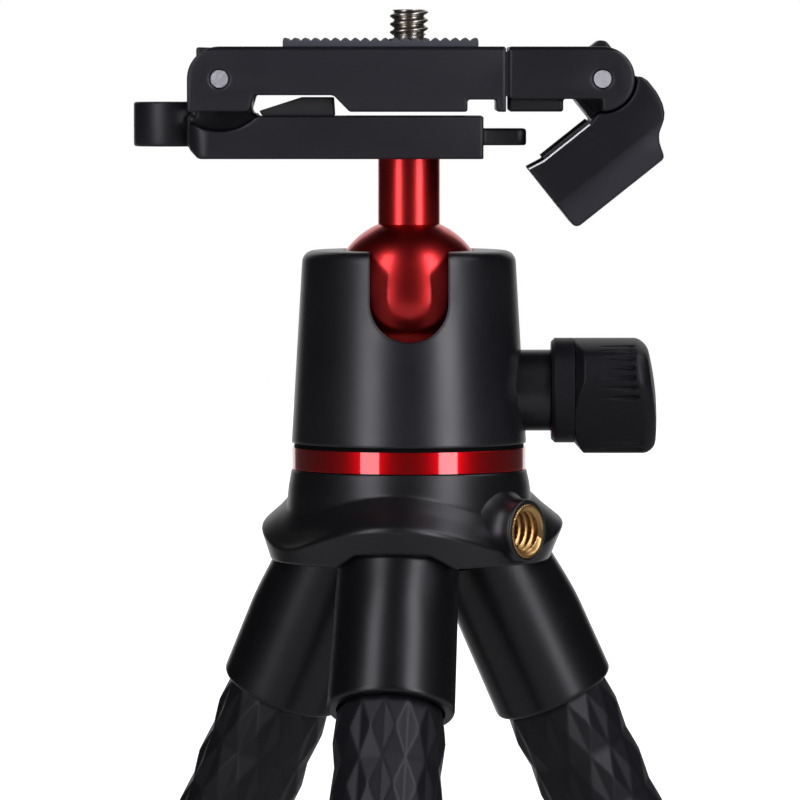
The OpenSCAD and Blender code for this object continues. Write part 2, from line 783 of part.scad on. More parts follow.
// The jaw's side: the tip at the left, its inner face uppermost, a flared lip at its back
module jaw_outline() {
  polygon([[-6.1, -4.3], [-jaw_l + 2.6, -4.3], [-jaw_l, -3.8], [-jaw_l, -jaw_d + 0.6],
    [-jaw_l + 0.6, -jaw_d], [-0.6, -jaw_d], [-0.1, -jaw_d + 0.2], [0.2, -jaw_d + 0.7], [0.5, -jaw_d + 1.6],
    [0.85, -jaw_d + 2.5], [1.25, -13], [1.65, -12.5], [2.2, -12.1], [2.9, -11.7], [3.7, -11.15], [4.4, -10.4],
    [5, -9.2], [5.3, -8.1], [5.5, -6.9], [5.5, -4.7], [5.1, -3.5], [4, -3], [0, -3]]);
}

module jaw_arm() {
  color("#25252a") on_jaw() difference() {
    union() {
      difference() {
        depth(-half_d, half_d) jaw_outline();
        along_y(-2 * half_d, 2 * half_d, ear_r + clear);
      }
      depth(-knuckle_w, knuckle_w) union() {
        circle(r = ear_r - 0.1);
        polygon([[-5.2, -4.4], [-5.2, -7], [5.2, -7], [4.4, -2], [-4, -2]]);
        polygon([[0, -2], [4.4, -2], [4.4, ear_r - 0.9], [3.6, ear_r - 0.1], [0, ear_r - 0.1]]);
      }
    }
    along_y(-half_d, half_d, pin_r + run_fit);
    translate([-jaw_l - 1, -channel_w, -12]) cube([jaw_l + 1 - 5.9, 2 * channel_w, 10]);
  }
}

module jaw_pad() {
  color("#1a1a1c") on_jaw() for (s = [-1, 1]) depth(s > 0 ? channel_w + 0.4 : -half_d + 0.4,
    s > 0 ? half_d - 0.4 : -channel_w - 0.4)
    polygon([[-6.6, -4.3], [-jaw_l + 3, -4.3], [-jaw_l + 3, -3.7], [-6.6, -3.7]]);
}

// Every node, one line each
hub();
pan_ring();
pan_washer();
pan_shaft();
thread_insert();
collar_screws();
for (i = [0:2]) {
  leg_collar(i);
  leg_core(i);
  leg_root(i);
  for (n = [1:links - 1])
    leg_link(n, i);
  leg_tip(i);
  foot(i);
}
housing();
base_plug();
knob_neck();
clamp_wedge();
ball_cup();
knob_grip();
knob_collar();
knob_screw();
ball_stem();
stem_bolt();
base_bar();
lower_jaw_pad();
top_plate();
ribbed_pad();
hinge_pin_left();
screw_clip();
return_springs();
camera_screw();
slider_block();
guide_rods();
hinge_pin_right();
jaw_arm();
jaw_pad();
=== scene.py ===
"""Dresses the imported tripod: leg skins, hub, knob, threads and pads, with finishes, light and camera."""
from __future__ import annotations

import json
import logging
import math
from dataclasses import dataclass, replace
from enum import Enum
from typing import Any, Callable, Sequence, Union

import bpy
import numpy as np
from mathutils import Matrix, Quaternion, Vector

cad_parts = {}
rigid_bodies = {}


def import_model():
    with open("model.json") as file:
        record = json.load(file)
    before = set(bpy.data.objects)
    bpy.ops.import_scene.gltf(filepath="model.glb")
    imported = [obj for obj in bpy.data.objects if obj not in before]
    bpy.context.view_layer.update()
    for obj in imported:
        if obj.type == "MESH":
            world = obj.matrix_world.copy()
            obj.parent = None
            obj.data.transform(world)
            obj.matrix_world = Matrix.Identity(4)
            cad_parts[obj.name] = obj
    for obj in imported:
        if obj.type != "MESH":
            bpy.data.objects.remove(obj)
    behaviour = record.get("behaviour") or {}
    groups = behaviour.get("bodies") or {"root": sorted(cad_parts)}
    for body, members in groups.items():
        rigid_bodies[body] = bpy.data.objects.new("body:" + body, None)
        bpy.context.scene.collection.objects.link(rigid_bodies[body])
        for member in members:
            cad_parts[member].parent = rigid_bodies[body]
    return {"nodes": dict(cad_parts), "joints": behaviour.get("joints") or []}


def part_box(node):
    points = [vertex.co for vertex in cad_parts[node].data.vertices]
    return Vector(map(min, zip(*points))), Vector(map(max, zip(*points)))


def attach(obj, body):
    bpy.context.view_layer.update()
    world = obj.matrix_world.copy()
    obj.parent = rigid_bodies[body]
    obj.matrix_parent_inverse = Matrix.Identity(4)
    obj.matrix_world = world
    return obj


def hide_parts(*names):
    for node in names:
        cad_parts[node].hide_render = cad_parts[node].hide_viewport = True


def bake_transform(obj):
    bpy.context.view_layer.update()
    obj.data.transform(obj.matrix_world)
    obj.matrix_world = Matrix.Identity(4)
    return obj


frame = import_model()

LOG = logging.getLogger("tripod")
MM = 0.001
LEG_NAMES = ("front", "right", "left")
# Degrees: the first leg about the upright axis, and the jaw about its pin.
HUB_TURN = -96.5
JAW_ANGLE = 38.5
# Millimetres: the hub's height, half the plate's depth, the threads' pitch, and the radius of a closed end.
HUB_HEIGHT = 14.9
HALF_D = 14.0
THREAD_PITCH = 1.3
POLE = 0.02
UP = np.array([0.0, 0.0, 1.0])
WHITE = (1.0, 1.0, 1.0, 1.0)
Array = np.ndarray
Colour = tuple[float, float, float]


def operator(operation: str, swap: bool = False) -> Callable[["Val", "Number"], "Val"]:
    """Makes an operator of Val that adds one Math node."""

    def apply(value: "Val", other: "Number") -> "Val":
        """Joins the two by the operation."""
        return value.math(operation, other, swap=swap)

    return apply


class Val:
    """A shader value with arithmetic: each operator adds one Math node to the tree."""

    def __init__(self, shader: "Shader", socket: bpy.types.NodeSocket) -> None:
        """Keeps the socket that carries the value and the tree it belongs to."""
        self.shader = shader
        self.socket = socket

    def math(self, operation: str, *others: "Number", swap: bool = False) -> "Val":
        """Adds a Math node.

        Args:
            operation: name of the Math node's operation.
            others: the further inputs, as values or numbers.
            swap: puts this value last, for the reflected operators.

        Returns:
            The node's result.
        """
        inputs = [self, *others]
        if swap:
            inputs.reverse()
        made = self.shader.node("ShaderNodeMath", {"operation": operation}, dict(enumerate(inputs)))
        return Val(self.shader, made.outputs[0])

    __add__ = __radd__ = operator("ADD")
    __sub__ = operator("SUBTRACT")
    __rsub__ = operator("SUBTRACT", swap=True)
    __mul__ = __rmul__ = operator("MULTIPLY")
    __pow__ = operator("POWER")

    def clamped(self) -> "Val":
        """The value held between 0 and 1."""
        return self.math("MAXIMUM", 0.0).math("MINIMUM", 1.0)


Number = Union[Val, float]


class Shader:
    """A node tree that is filled through one method for nodes."""

    def __init__(self, tree: bpy.types.NodeTree) -> None:
        """Empties the tree."""
        self.tree = tree
        tree.nodes.clear()

    def node(self, kind: str, settings: dict[str, Any] | None = None,
             inputs: dict[Any, Any] | None = None) -> bpy.types.Node:
        """Adds one node.

        Args:
            kind: the node's type name.
            settings: properties to set first.
            inputs: socket name or number, with a constant, a Val or another node's socket.

        Returns:
            The new node.
        """
        made = self.tree.nodes.new(kind)
        for name, value in (settings or {}).items():
            setattr(made, name, value)
        for key, value in (inputs or {}).items():
            if isinstance(value, Val):
                self.tree.links.new(value.socket, made.inputs[key])
            elif isinstance(value, bpy.types.NodeSocket):
                self.tree.links.new(value, made.inputs[key])
            else:
                made.inputs[key].default_value = value
        return made

    def value(self, node: bpy.types.Node, output: Any = 0) -> Val:
        """A node's output as a value."""
        return Val(self, node.outputs[output])

    def coordinates(self, kind: str) -> bpy.types.NodeSocket:
        """Texture coordinates of one kind."""
        return self.node("ShaderNodeTexCoord").outputs[kind]

    def axes(self, place: bpy.types.NodeSocket) -> list[Val]:
        """The X, Y and Z of a vector."""
        parts = self.node("ShaderNodeSeparateXYZ", None, {0: place})
        return [self.value(parts, k) for k in range(3)]

    def noise(self, vector: bpy.types.NodeSocket, scale: float, detail: float = 3.0) -> Val:
        """Noise between 0 and 1 with features of about 1 / scale metres."""
        made = self.node("ShaderNodeTexNoise", {"noise_dimensions": "3D"},
                         {"Vector": vector, "Scale": scale, "Detail": detail, "Roughness": 0.55})
        return self.value(made, "Fac")

    def blend(self, factor: Number, first: Colour, second: Colour) -> bpy.types.NodeSocket:
        """Mixes two colours.

        Args:
            factor: 0 for the first colour, 1 for the second.
            first: linear colour.
            second: linear colour.

        Returns:
            The colour socket.
        """
        made = self.node("ShaderNodeMix", {"data_type": "RGBA"},
                         {0: factor, 6: (*first, 1.0), 7: (*second, 1.0)})
        return made.outputs[2]


class Grain(Enum):
    """How the fine marks of a finish run."""

    CAST = "even speckle"
    TURNED = "rings round the upright axis"


@dataclass(frozen=True)
class Finish:
    """One finish: a Principled surface with grain, mottling, softened edges and painted shading past an
    optional fold. Lengths in millimetres.
    """

    name: str
    colour: Colour
    roughness: float
    metallic: float = 0.0
    specular: float = 0.5
    grain: Grain = Grain.CAST
    grain_size: float = 0.25
    grain_depth: float = 0.004
    mottle: float = 0.12
    rough_swing: float = 0.10
    edge: float = 0.0
    coat: float = 0.0
    coat_ior: float = 1.5
    coat_roughness: float = 0.08
    # The fold fields bend the normal past a fold line and mix painted_fold_shading into the colour there: a
    # painted highlight on the jaw's lip, painted shade along the top of plate and slider.
    fold_place: tuple[float, float] = (0.0, 0.0)
    fold_angle: float = 0.0
    fold_bend: float = 0.0
    painted_fold_shading: Colour = (0.0, 0.0, 0.0)

    def grain_vector(self, shader: Shader, place: bpy.types.NodeSocket) -> bpy.types.NodeSocket:
        """The place itself, or its radius and height where the grain runs in rings."""
        if self.grain is Grain.CAST:
            return place
        x, y, z = shader.axes(place)
        radius = (x * x + y * y) ** 0.5
        return shader.node("ShaderNodeCombineXYZ", None, {0: radius, 1: 0.0, 2: z}).outputs[0]

    def broken_top_painted_shade(self, name: str, top: float) -> "Finish":
        """A copy of the finish for a piece whose edge below a level top is broken by a soft slope and darkened
        there by painted shade.

        Args:
            name: name of the copy.
            top: height of the top in millimetres.

        Returns:
            The finish, whose fold line runs level below the top.
        """
        return replace(self, name=name, fold_place=(0.0, top - 0.78), fold_angle=180.0, fold_bend=3.2,
                       painted_fold_shading=tuple(0.3 * c for c in self.colour))

    def past_fold(self, shader: Shader, place: bpy.types.NodeSocket) -> Val:
        """Distance past the fold line, in metres, or 0 before it."""
        x, _, z = shader.axes(place)
        a = math.radians(self.fold_angle)
        across = (x - self.fold_place[0] * MM) * math.sin(a)
        return (across - (z - self.fold_place[1] * MM) * math.cos(a)).math("MAXIMUM", 0.0)

    def folded(self, shader: Shader, past: Val, normal: bpy.types.NodeSocket) -> bpy.types.NodeSocket:
        """Bends the normal past the fold line: the height falls by half the bend times the distance squared.

        Args:
            shader: the tree.
            past: distance past the fold line.
            normal: the normal to start from.

        Returns:
            The bent normal.
        """
        height = past * past * (-0.5 * self.fold_bend / MM)
        bump = shader.node("ShaderNodeBump", None,
                           {"Height": height, "Strength": 1.0, "Distance": 1.0, "Normal": normal})
        return bump.outputs[0]

    def build(self) -> bpy.types.Material:
        """Makes the material.

        Returns:
            A material whose colour, roughness and normal vary, with every other number set on the shader.
        """
        material = bpy.data.materials.get(self.name)
        if material is not None:
            return material
        material = bpy.data.materials.new(self.name)
        material.use_nodes = True
        material.diffuse_color = (*self.colour, 1.0)
        shader = Shader(material.node_tree)
        place = shader.coordinates("Object")
        fine = shader.noise(self.grain_vector(shader, place), 1000.0 / self.grain_size, 4.0)
        coarse = shader.noise(place, 110.0, 3.0)
        dark = tuple(c * (1.0 - self.mottle) for c in self.colour)
        light = tuple(min(1.0, c * (1.0 + self.mottle)) for c in self.colour)
        mix = (coarse * 0.6 + fine * 0.4).clamped()
        colour = shader.blend(mix, dark, light)
        rough = (fine * 0.5 + coarse * 0.5 - 0.5) * self.rough_swing * 2.0 + self.roughness
        inputs = {"Height": fine, "Strength": 1.0, "Distance": self.grain_depth * MM}
        if self.edge > 0.0:
            soft = shader.node("ShaderNodeBevel", {"samples": 6}, {"Radius": self.edge * MM})
            inputs["Normal"] = soft.outputs[0]
        if self.fold_bend > 0.0:
            past = self.past_fold(shader, place)
            inputs["Normal"] = self.folded(shader, past, inputs["Normal"])
            # Past the fold the colour is mixed towards painted_fold_shading, with a small step just past the
            # fold line: painted highlight on the jaw's lip, painted shade on the top band of plate and slider.
            lip = shader.node("ShaderNodeMix", {"data_type": "RGBA"},
                              {0: ((past * 2500.0).clamped() * 0.15 + past * 130.0).clamped(), 6: colour,
                               7: (*self.painted_fold_shading, 1.0)})
            colour = lip.outputs[2]
        bump = shader.node("ShaderNodeBump", None, inputs)
        surface = shader.node("ShaderNodeBsdfPrincipled", None, {
            "Base Color": colour, "Roughness": rough.clamped(), "Normal": bump.outputs[0],
            "Metallic": self.metallic, "Specular IOR Level": self.specular, "Coat Weight": self.coat,
            "Coat IOR": self.coat_ior, "Coat Roughness": self.coat_roughness})
        shader.node("ShaderNodeOutputMaterial", None, {"Surface": surface.outputs[0]})
        return material


BLACK_METAL = Finish("black_anodised", (0.0110, 0.0105, 0.0150), 0.42, edge=0.6, grain_size=0.12,
                     grain_depth=0.002)
# The jaw's lip past the fold is bent and painted lighter: a painted highlight where the lip faces the strip
# lights.
JAW_BLACK = Finish("jaw_anodised_painted_lip_highlight", (0.0050, 0.0048, 0.0068), 0.42, specular=0.38, edge=0.35, grain_size=0.12,
                   grain_depth=0.002, fold_place=(37.75, 242.57), fold_angle=JAW_ANGLE, fold_bend=0.11,
                   painted_fold_shading=(0.046, 0.045, 0.056))
BAR_BLACK = replace(BLACK_METAL, name="bar_anodised", colour=(0.0078, 0.0075, 0.0105))
# White for thin strips that paint the highlights along the jaw's inner edges and the heel's edge.
EDGE_PAINTED_HIGHLIGHT = Finish("painted_edge_highlight", (0.90, 0.90, 0.92), 0.45, grain_size=0.12, grain_depth=0.002)
HOUSING_BLACK = Finish("black_lacquer", (0.0052, 0.0050, 0.0072), 0.35, specular=0.75, edge=0.7,
                       grain_size=0.15, grain_depth=0.0015)
HUB_BLACK = Finish("black_moulding", (0.0035, 0.0033, 0.0046), 0.36, specular=0.6, edge=0.3, grain_size=0.2,
                   grain_depth=0.003)
KNOB_BLACK = Finish("knob_soft_touch", (0.0030, 0.0029, 0.0048), 0.46, specular=0.3, edge=0.3,
                    grain_size=0.12, grain_depth=0.004, mottle=0.2)
COLLAR_BLACK = Finish("collar_moulding", (0.0030, 0.0029, 0.0040), 0.32, grain_size=0.2, grain_depth=0.003)
LEG_RUBBER = Finish("faceted_rubber", (0.0060, 0.0058, 0.0082), 0.45, specular=0.38, grain_size=0.3,
                    grain_depth=0.003, mottle=0.2)
PAD_RUBBER = Finish("pad_rubber", (0.012, 0.012, 0.013), 0.62, grain_size=0.25, grain_depth=0.01, mottle=0.2)
GREY_RUBBER = Finish("ribbed_rubber_grey", (0.060, 0.061, 0.072), 0.62, specular=0.35, grain_size=0.3,
                     grain_depth=0.008, mottle=0.15)
RED_RING = Finish("red_polished", (0.62, 0.0004, 0.004), 0.33, metallic=1.0, grain=Grain.TURNED,
                  grain_size=0.1, grain_depth=0.0004, mottle=0.05, rough_swing=0.03, edge=0.25,
                  coat=1.0, coat_ior=1.7, coat_roughness=0.05)
RED_BALL = Finish("red_satin", (0.72, 0.034, 0.034), 0.305, metallic=1.0, coat=0.22, grain=Grain.TURNED,
                  grain_size=0.12, grain_depth=0.0015, mottle=0.1, rough_swing=0.06)
STEEL = Finish("bright_steel", (0.56, 0.56, 0.58), 0.30, metallic=1.0, grain_size=0.2, grain_depth=0.003,
               mottle=0.15)
PIN_STEEL = Finish("pin_steel", (0.62, 0.62, 0.64), 0.52, metallic=1.0, grain_size=0.7, grain_depth=0.06,
                   mottle=0.5, rough_swing=0.25)
SCREW_STEEL = Finish("screw_steel", (0.42, 0.385, 0.34), 0.27, metallic=1.0, grain=Grain.TURNED,
                     grain_size=0.1, grain_depth=0.002, mottle=0.15, rough_swing=0.08)
BRASS = Finish("yellow_brass", (0.66, 0.41, 0.16), 0.35, metallic=1.0, grain_size=0.15, grain_depth=0.003,
               mottle=0.15, rough_swing=0.08)
PLUG_BLACK = Finish("plug_matt", (0.0020, 0.0019, 0.0028), 0.6, specular=0.2, grain_size=0.2)
NYLON = Finish("white_nylon", (0.52, 0.50, 0.46), 0.55, grain_size=0.3)
# Black nylon, made darker still and nearly without gloss so that the washer also paints the shade of its recess
# under the housing.
NYLON_AND_RECESS_SHADE = Finish("black_nylon_and_recess_shade", (0.0012, 0.0012, 0.0014), 0.7, specular=0.1, grain_size=0.3)


def grid_faces(rows: int, columns: int, wrap: bool) -> Array:
    """Quads of a grid of rows by columns of points, closed round the columns if wrap is set.

    Args:
        rows: points along the first direction.
        columns: points along the second direction.
        wrap: joins the last column to the first.

    Returns:
        An array of quads, four point numbers each.
    """
    wide = columns if wrap else columns - 1
    i, j = np.meshgrid(np.arange(rows - 1), np.arange(wide), indexing="ij")
    after = (j + 1) % columns
    near, far = i * columns, (i + 1) * columns
    quads = np.stack([near + j, near + after, far + after, far + j], -1)
    return quads.reshape(-1, 4)


def outward(points: Array, faces: list[list[int]]) -> list[list[int]]:
    """Turns all faces round if the volume that they enclose, the sum of p . (q x r) / 6, comes out negative.

    Args:
        points: the mesh's points.
        faces: faces with a common sense of turning.

    Returns:
        The faces, pointing outwards.
    """
    fans = np.array([(f[0], f[k], f[k + 1]) for f in faces for k in range(1, len(f) - 1)])
    p = points - points.mean(0)
    volume = np.einsum("ij,ij->", p[fans[:, 0]], np.cross(p[fans[:, 1]], p[fans[:, 2]]))
    return faces if volume > 0 else [f[::-1] for f in faces]


def added(name: str, data: bpy.types.ID) -> bpy.types.Object:
    """A new object in the scene."""
    made = bpy.data.objects.new(name, data)
    bpy.context.scene.collection.objects.link(made)
    return made


def modify(target: bpy.types.Object, name: str, kind: str, **settings: Any) -> None:
    """Adds one modifier with its settings."""
    made = target.modifiers.new(name, kind)
    for key, value in settings.items():
        setattr(made, key, value)


@dataclass
class Piece:
    """A new mesh object: its points in metres, its faces, its finish and what carries it."""

    name: str
    points: Array
    faces: list[list[int]]
    finish: Finish
    slot: str
    smooth: bool = True
    split: float = 0.0
    bevel: float = 0.0

    def make(self) -> bpy.types.Object:
        """Makes the object, with the place in its mesh.

        Returns:
            The object, which rides on nothing yet.
        """
        mesh = bpy.data.meshes.new(self.name)
        mesh.from_pydata(self.points.tolist(), [], outward(self.points, self.faces))
        mesh.polygons.foreach_set("use_smooth", np.full(len(mesh.polygons), self.smooth))
        mesh.materials.append(self.finish.build())
        mesh.update()
        made = added(self.name, mesh)
        if self.bevel > 0.0:
            modify(made, "round_edges", "BEVEL", width=self.bevel * MM, segments=3, limit_method="ANGLE",
                   angle_limit=math.radians(30))
        if self.split > 0.0:
            modify(made, "sharp_edges", "EDGE_SPLIT", split_angle=math.radians(self.split))
        LOG.info("piece %s: %d points", self.name, len(self.points))
        return made

    def on(self, body: str, *nodes: str) -> bpy.types.Object:
        """Makes the object, lets it ride on a body and hides the nodes that it stands for."""
        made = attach(self.make(), body)
        if nodes:
            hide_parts(*nodes)
        return made


def tube_faces(rows: int, columns: int) -> list[list[int]]:
    """Faces of a closed stack of rings, with a fan to one extra point at each end."""
    first, last = rows * columns, rows * columns + 1
    k = np.arange(columns)
    after = (k + 1) % columns
    start = np.stack([np.full(columns, first), after, k], -1)
    base = (rows - 1) * columns
    end = np.stack([np.full(columns, last), base + k, base + after], -1)
    return grid_faces(rows, columns, True).tolist() + start.tolist() + end.tolist()


def closed_tube(rings: Array) -> tuple[Array, list[list[int]]]:
    """Closes a stack of rings with a pole at each end.

    Args:
        rings: points as rows by columns by 3.

    Returns:
        Points with the two poles last, each at the middle of its end ring, and the faces.
    """
    rows, columns, _ = rings.shape
    poles = np.stack([rings[0].mean(0), rings[-1].mean(0)])
    return np.concatenate([rings.reshape(-1, 3), poles]), tube_faces(rows, columns)


def around(columns: int) -> Array:
    """Evenly spaced angles of one full turn."""
    return np.linspace(0, 2 * np.pi, columns, endpoint=False)


def wound(radius: Array, height: Array, t: Array) -> Array:
    """Rings round the Z axis, with a radius for each height and angle: x = r cos t, y = r sin t."""
    level = np.broadcast_to(height[:, None], radius.shape)
    return np.stack([radius * np.cos(t), radius * np.sin(t), level], -1)


def thread_wave(z: Array, t: Array) -> Array:
    """A triangle wave of z / pitch - t / 2 pi, between 0 and 1."""
    return np.abs(((z[:, None] / THREAD_PITCH - t[None, :] / (2 * np.pi)) % 1.0) * 2 - 1)


def turned(profile: Sequence[tuple[float, float]], columns: int) -> Array:
    """A profile of (height, radius) carried round the Z axis.

    Args:
        profile: heights and radii in millimetres.
        columns: points round the axis.

    Returns:
        Rings as rows by columns by 3, in millimetres.
    """
    z, r = np.array(profile, float).T
    return wound(np.outer(r, np.ones(columns)), z, around(columns))


def prism(outline: Array, lo: float, hi: float, axis: int) -> tuple[Array, list[list[int]]]:
    """A flat outline carried straight along one axis, with a flat cap at each end.

    Args:
        outline: points in the two other axes, in order of the axes.
        lo: start along the axis.
        hi: end along the axis.
        axis: 0, 1 or 2.

    Returns:
        Points in the unit of the outline, and faces.
    """
    count = len(outline)
    rings = np.stack([np.insert(outline, axis, lo, 1), np.insert(outline, axis, hi, 1)])
    sides = grid_faces(2, count, True).tolist()
    return rings.reshape(-1, 3), sides + [list(range(count))[::-1], list(range(count, 2 * count))]


def bar_piece(name: str, outline: Sequence[tuple[float, float]], lo: float, hi: float, finish: Finish,
              slot: str, **look: Any) -> Piece:
    """A piece whose outline in X and Z is carried along Y from lo to hi, in millimetres."""
    points, faces = prism(np.array(outline), lo, hi, 1)
    return Piece(name, points * MM, faces, finish, slot, **look)


def on_jaw(outline: Sequence[tuple[float, float]]) -> Array:
    """Turns an outline from the jaw's own frame, about its pin, to the scene: X and Z in millimetres."""
    pin = joint_place("jaw_fold")
    c, s = math.cos(math.radians(JAW_ANGLE)), math.sin(math.radians(JAW_ANGLE))
    u, v = np.array(outline, float).T
    return np.stack([pin.x + u * c - v * s, pin.z + u * s + v * c], -1)


def smoothstep(x: Array, start: float, end: float) -> Array:
    """3 t^2 - 2 t^3 with t running from 0 at start to 1 at end."""
    t = np.clip((x - start) / (end - start), 0.0, 1.0)
    return t * t * (3.0 - 2.0 * t)


def soft_abs(x: Array, edge: float) -> Array:
    """The root of x^2 + edge^2, less edge: a V with a rounded bottom."""
    return np.sqrt(x * x + edge * edge) - edge


@dataclass
class Leg:
    """One bendable leg: a faceted rubber skin in five stretches, and a foot."""

    name: str
    azimuth: float
    hub_z: float
    tilt: float = 26.0
    rho: float = 15.0
    start: float = 25.5
    end: float = 170.0
    rows: int = 30
    columns: int = 14
    base_r: float = 8.5
    peak_r: float = 9.1
    cuts: int = 12
    foot_r: float = 9.29
    foot_s: float = 183.0

    def place(self, local: Array) -> Array:
        """Carries points from the leg's own frame to the scene.

        Args:
            local: points with X towards the tripod's axis, Y round it and the last value down along the leg.

        Returns:
            Points in metres.
        """
        a, b = math.radians(self.azimuth), math.radians(self.tilt)
        out = np.array([math.cos(a), math.sin(a), 0.0])
        round_axis = np.cross(UP, out)
        down = math.sin(b) * out - math.cos(b) * UP
        inner = -(math.cos(b) * out + math.sin(b) * UP)
        origin = self.rho * out + self.hub_z * UP
        x, y, s = np.moveaxis(local, -1, 0)
        return (origin + x[..., None] * inner + y[..., None] * round_axis + s[..., None] * down) * MM

    def facet_rings(self, first: int, last: int) -> Array:
        """Rings of the skin between two even rows.

        Each column of the skin is a flat strip between two corners of a regular polygon. In each cell, of
        one column by two rows, the surface stands out along the strip's normal by 1 - 2 max(|u|, |v|), with
        u and v from -1/2 to 1/2 across and along the cell, so that each cell is a low pyramid of four facets.

        Args:
            first: first row.
            last: last row.

        Returns:
            Rings as rows by columns by 3, in the leg's frame.
        """
        n = self.cuts
        cells = (last - first) // 2
        step = (self.end - self.start) / self.rows
        j = np.arange(cells * n + 1)
        v = (j % n) / n - 0.5
        s = self.start + step * (first + 2.0 * j / n)
        i = np.arange(self.columns * n)
        u = (i % n) / n - 0.5
        t0 = 2 * np.pi * (i // n) / self.columns
        t1 = t0 + 2 * np.pi / self.columns
        middle = 0.5 * (t0 + t1)
        x = self.base_r * ((0.5 - u) * np.cos(t0) + (0.5 + u) * np.cos(t1))
        y = self.base_r * ((0.5 - u) * np.sin(t0) + (0.5 + u) * np.sin(t1))
        a, b = np.abs(u)[None, :], np.abs(v)[:, None]
        largest = 0.5 * (a + b + soft_abs(a - b, 0.015))
        tallest = self.peak_r - self.base_r * math.cos(math.pi / self.columns)
        rise = np.clip(1.0 - 2.0 * largest, 0.0, 1.0) * tallest
        rise = rise * (1.0 - 0.12 * rise)
        return np.stack([x + rise * np.cos(middle), y + rise * np.sin(middle),
                         np.broadcast_to(s[:, None], rise.shape)], -1)

    def facet_faces(self, rows: int, columns: int) -> list[list[int]]:
        """Triangles of the skin, each square split along the crease of the pyramid that it is part of."""
        quads = grid_faces(rows, columns, True).reshape(rows - 1, columns, 4)
        i, j = np.meshgrid(np.arange(rows - 1), np.arange(columns), indexing="ij")
        half = self.cuts / 2
        rising = (((i % self.cuts) < half) == ((j % self.cuts) < half)).reshape(-1, 1)
        q = quads.reshape(-1, 4)
        one = np.where(rising, q[:, [0, 1, 2]], q[:, [0, 1, 3]])
        two = np.where(rising, q[:, [0, 2, 3]], q[:, [1, 2, 3]])
        return np.concatenate([one, two]).tolist()

    def collar_end(self, rings: Array, s: Sequence[float], scale: Sequence[float], before: bool) -> Array:
        """Adds plain rings at one end of the skin, drawn in towards the axis.

        Args:
            rings: rings of the skin.
            s: distance of each new ring down the leg.
            scale: size of each new ring against the end ring.
            before: puts the new rings first.

        Returns:
            The longer stack of rings.
        """
        edge = rings[0] if before else rings[-1]
        more = np.stack([np.insert(edge[:, :2] * f, 2, d, 1) for d, f in zip(s, scale)])
        return np.concatenate([more, rings] if before else [rings, more])

    def build_skin(self) -> None:
        """Makes the five stretches; each stands for the solids that it hides."""
        per = self.rows // 5
        stands_for = [[f"leg_root_{self.name}", f"leg_core_{self.name}"]]
        stands_for += [[f"leg_link_{n}_{self.name}"] for n in range(1, 5)]
        stands_for[-1].append(f"leg_tip_{self.name}")
        for k in range(5):
            rings = self.facet_rings(k * per, (k + 1) * per)
            faces = self.facet_faces(len(rings), rings.shape[1])
            if k == 0:
                count = rings.shape[1]
                rings = self.collar_end(rings, (23.0, 24.9), (0.9, 0.955), True)
                faces = grid_faces(3, count, True).tolist() + [[p + 2 * count for p in f] for f in faces]
            if k == 4:
                base = (len(rings) - 1) * rings.shape[1]
                rings = self.collar_end(rings, (170.2, 172.0), (0.95, 0.9), False)
                faces += [[p + base for p in f] for f in grid_faces(3, rings.shape[1], True).tolist()]
            points = self.place(rings.reshape(-1, 3))
            made = Piece(f"leg_skin_{k + 1}_{self.name}", points, faces, LEG_RUBBER, "leg_rubber").make()
            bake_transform(made)
            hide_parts(*stands_for[k])

    def build_foot(self) -> None:
        """Makes the foot: a sleeve with three grooves and a round end, flat where it meets the floor."""
        s = np.concatenate([[169.9, 169.9, 170.05, 170.4, 171.0], np.linspace(171.5, self.foot_s, 60)])
        r = np.full(len(s), self.foot_r)
        r[:5] = [self.base_r - 0.6, 8.6, 8.85, 9.1, 9.25]
        for groove in (175.0, 177.5, 180.0):
            r -= 0.45 * np.exp(-(((s - groove) / 0.45) ** 4))
        t = np.linspace(0, math.pi / 2, 24)[1:-1]
        s = np.concatenate([s, self.foot_s + self.foot_r * np.sin(t), [self.foot_s + self.foot_r]])
        r = np.concatenate([r, self.foot_r * np.cos(t), [POLE]])
        points, faces = closed_tube(turned(list(zip(s, r)), 72))
        points = self.place(points)
        points[:, 2] = np.maximum(points[:, 2], 0.0)
        Piece(f"foot_skin_{self.name}", points, faces, LEG_RUBBER, "foot_rubber").on(
            f"leg_{self.name}_5", f"foot_{self.name}")

    def build_collar(self) -> None:
        """Makes the collar: stacked ellipses that widen from the hub to a rounded rim with an open mouth.

        Across the leg the half width grows steadily along s; towards the outside it grows in a soft step, so
        that the collar leaves the hub narrow and swells into a shoulder.
        """
        bend = np.linspace(0, np.pi / 2, 8)[1:]
        mouth, mouth_in = [25.0, 24.75, 23.0, 22.9], [1.5, 1.62, 1.65, 9.0]
        s = np.concatenate([np.linspace(-2.0, 24.2, 60), 24.2 + 0.8 * np.sin(bend), mouth])
        edge = np.concatenate([np.zeros(60), 0.55 * (1 - np.cos(bend)), mouth_in])
        grown = np.clip((s + 2.0) / 26.0, 0.0, 1.0)
        wide = 9.7 + 0.5 * grown - edge
        outer = 8.5 + 1.5 * smoothstep(s, -3.0, 13.0) - edge
        inner = 9.6 + 0.4 * grown - edge
        t = around(120)
        deep = np.where(np.cos(t)[None, :] > 0.0, outer[:, None], inner[:, None])
        level = np.broadcast_to(s[:, None], deep.shape)
        points, faces = closed_tube(np.stack([-deep * np.cos(t), np.outer(wide, np.sin(t)), level], -1))
        skin = Piece(f"collar_skin_{self.name}", self.place(points), faces, COLLAR_BLACK, "black_plastic",
                     split=55)
        skin.on("base", f"leg_collar_{self.name}")

    def build(self) -> None:
        """Makes the collar, the skin and the foot."""
        self.build_collar()
        self.build_skin()
        self.build_foot()


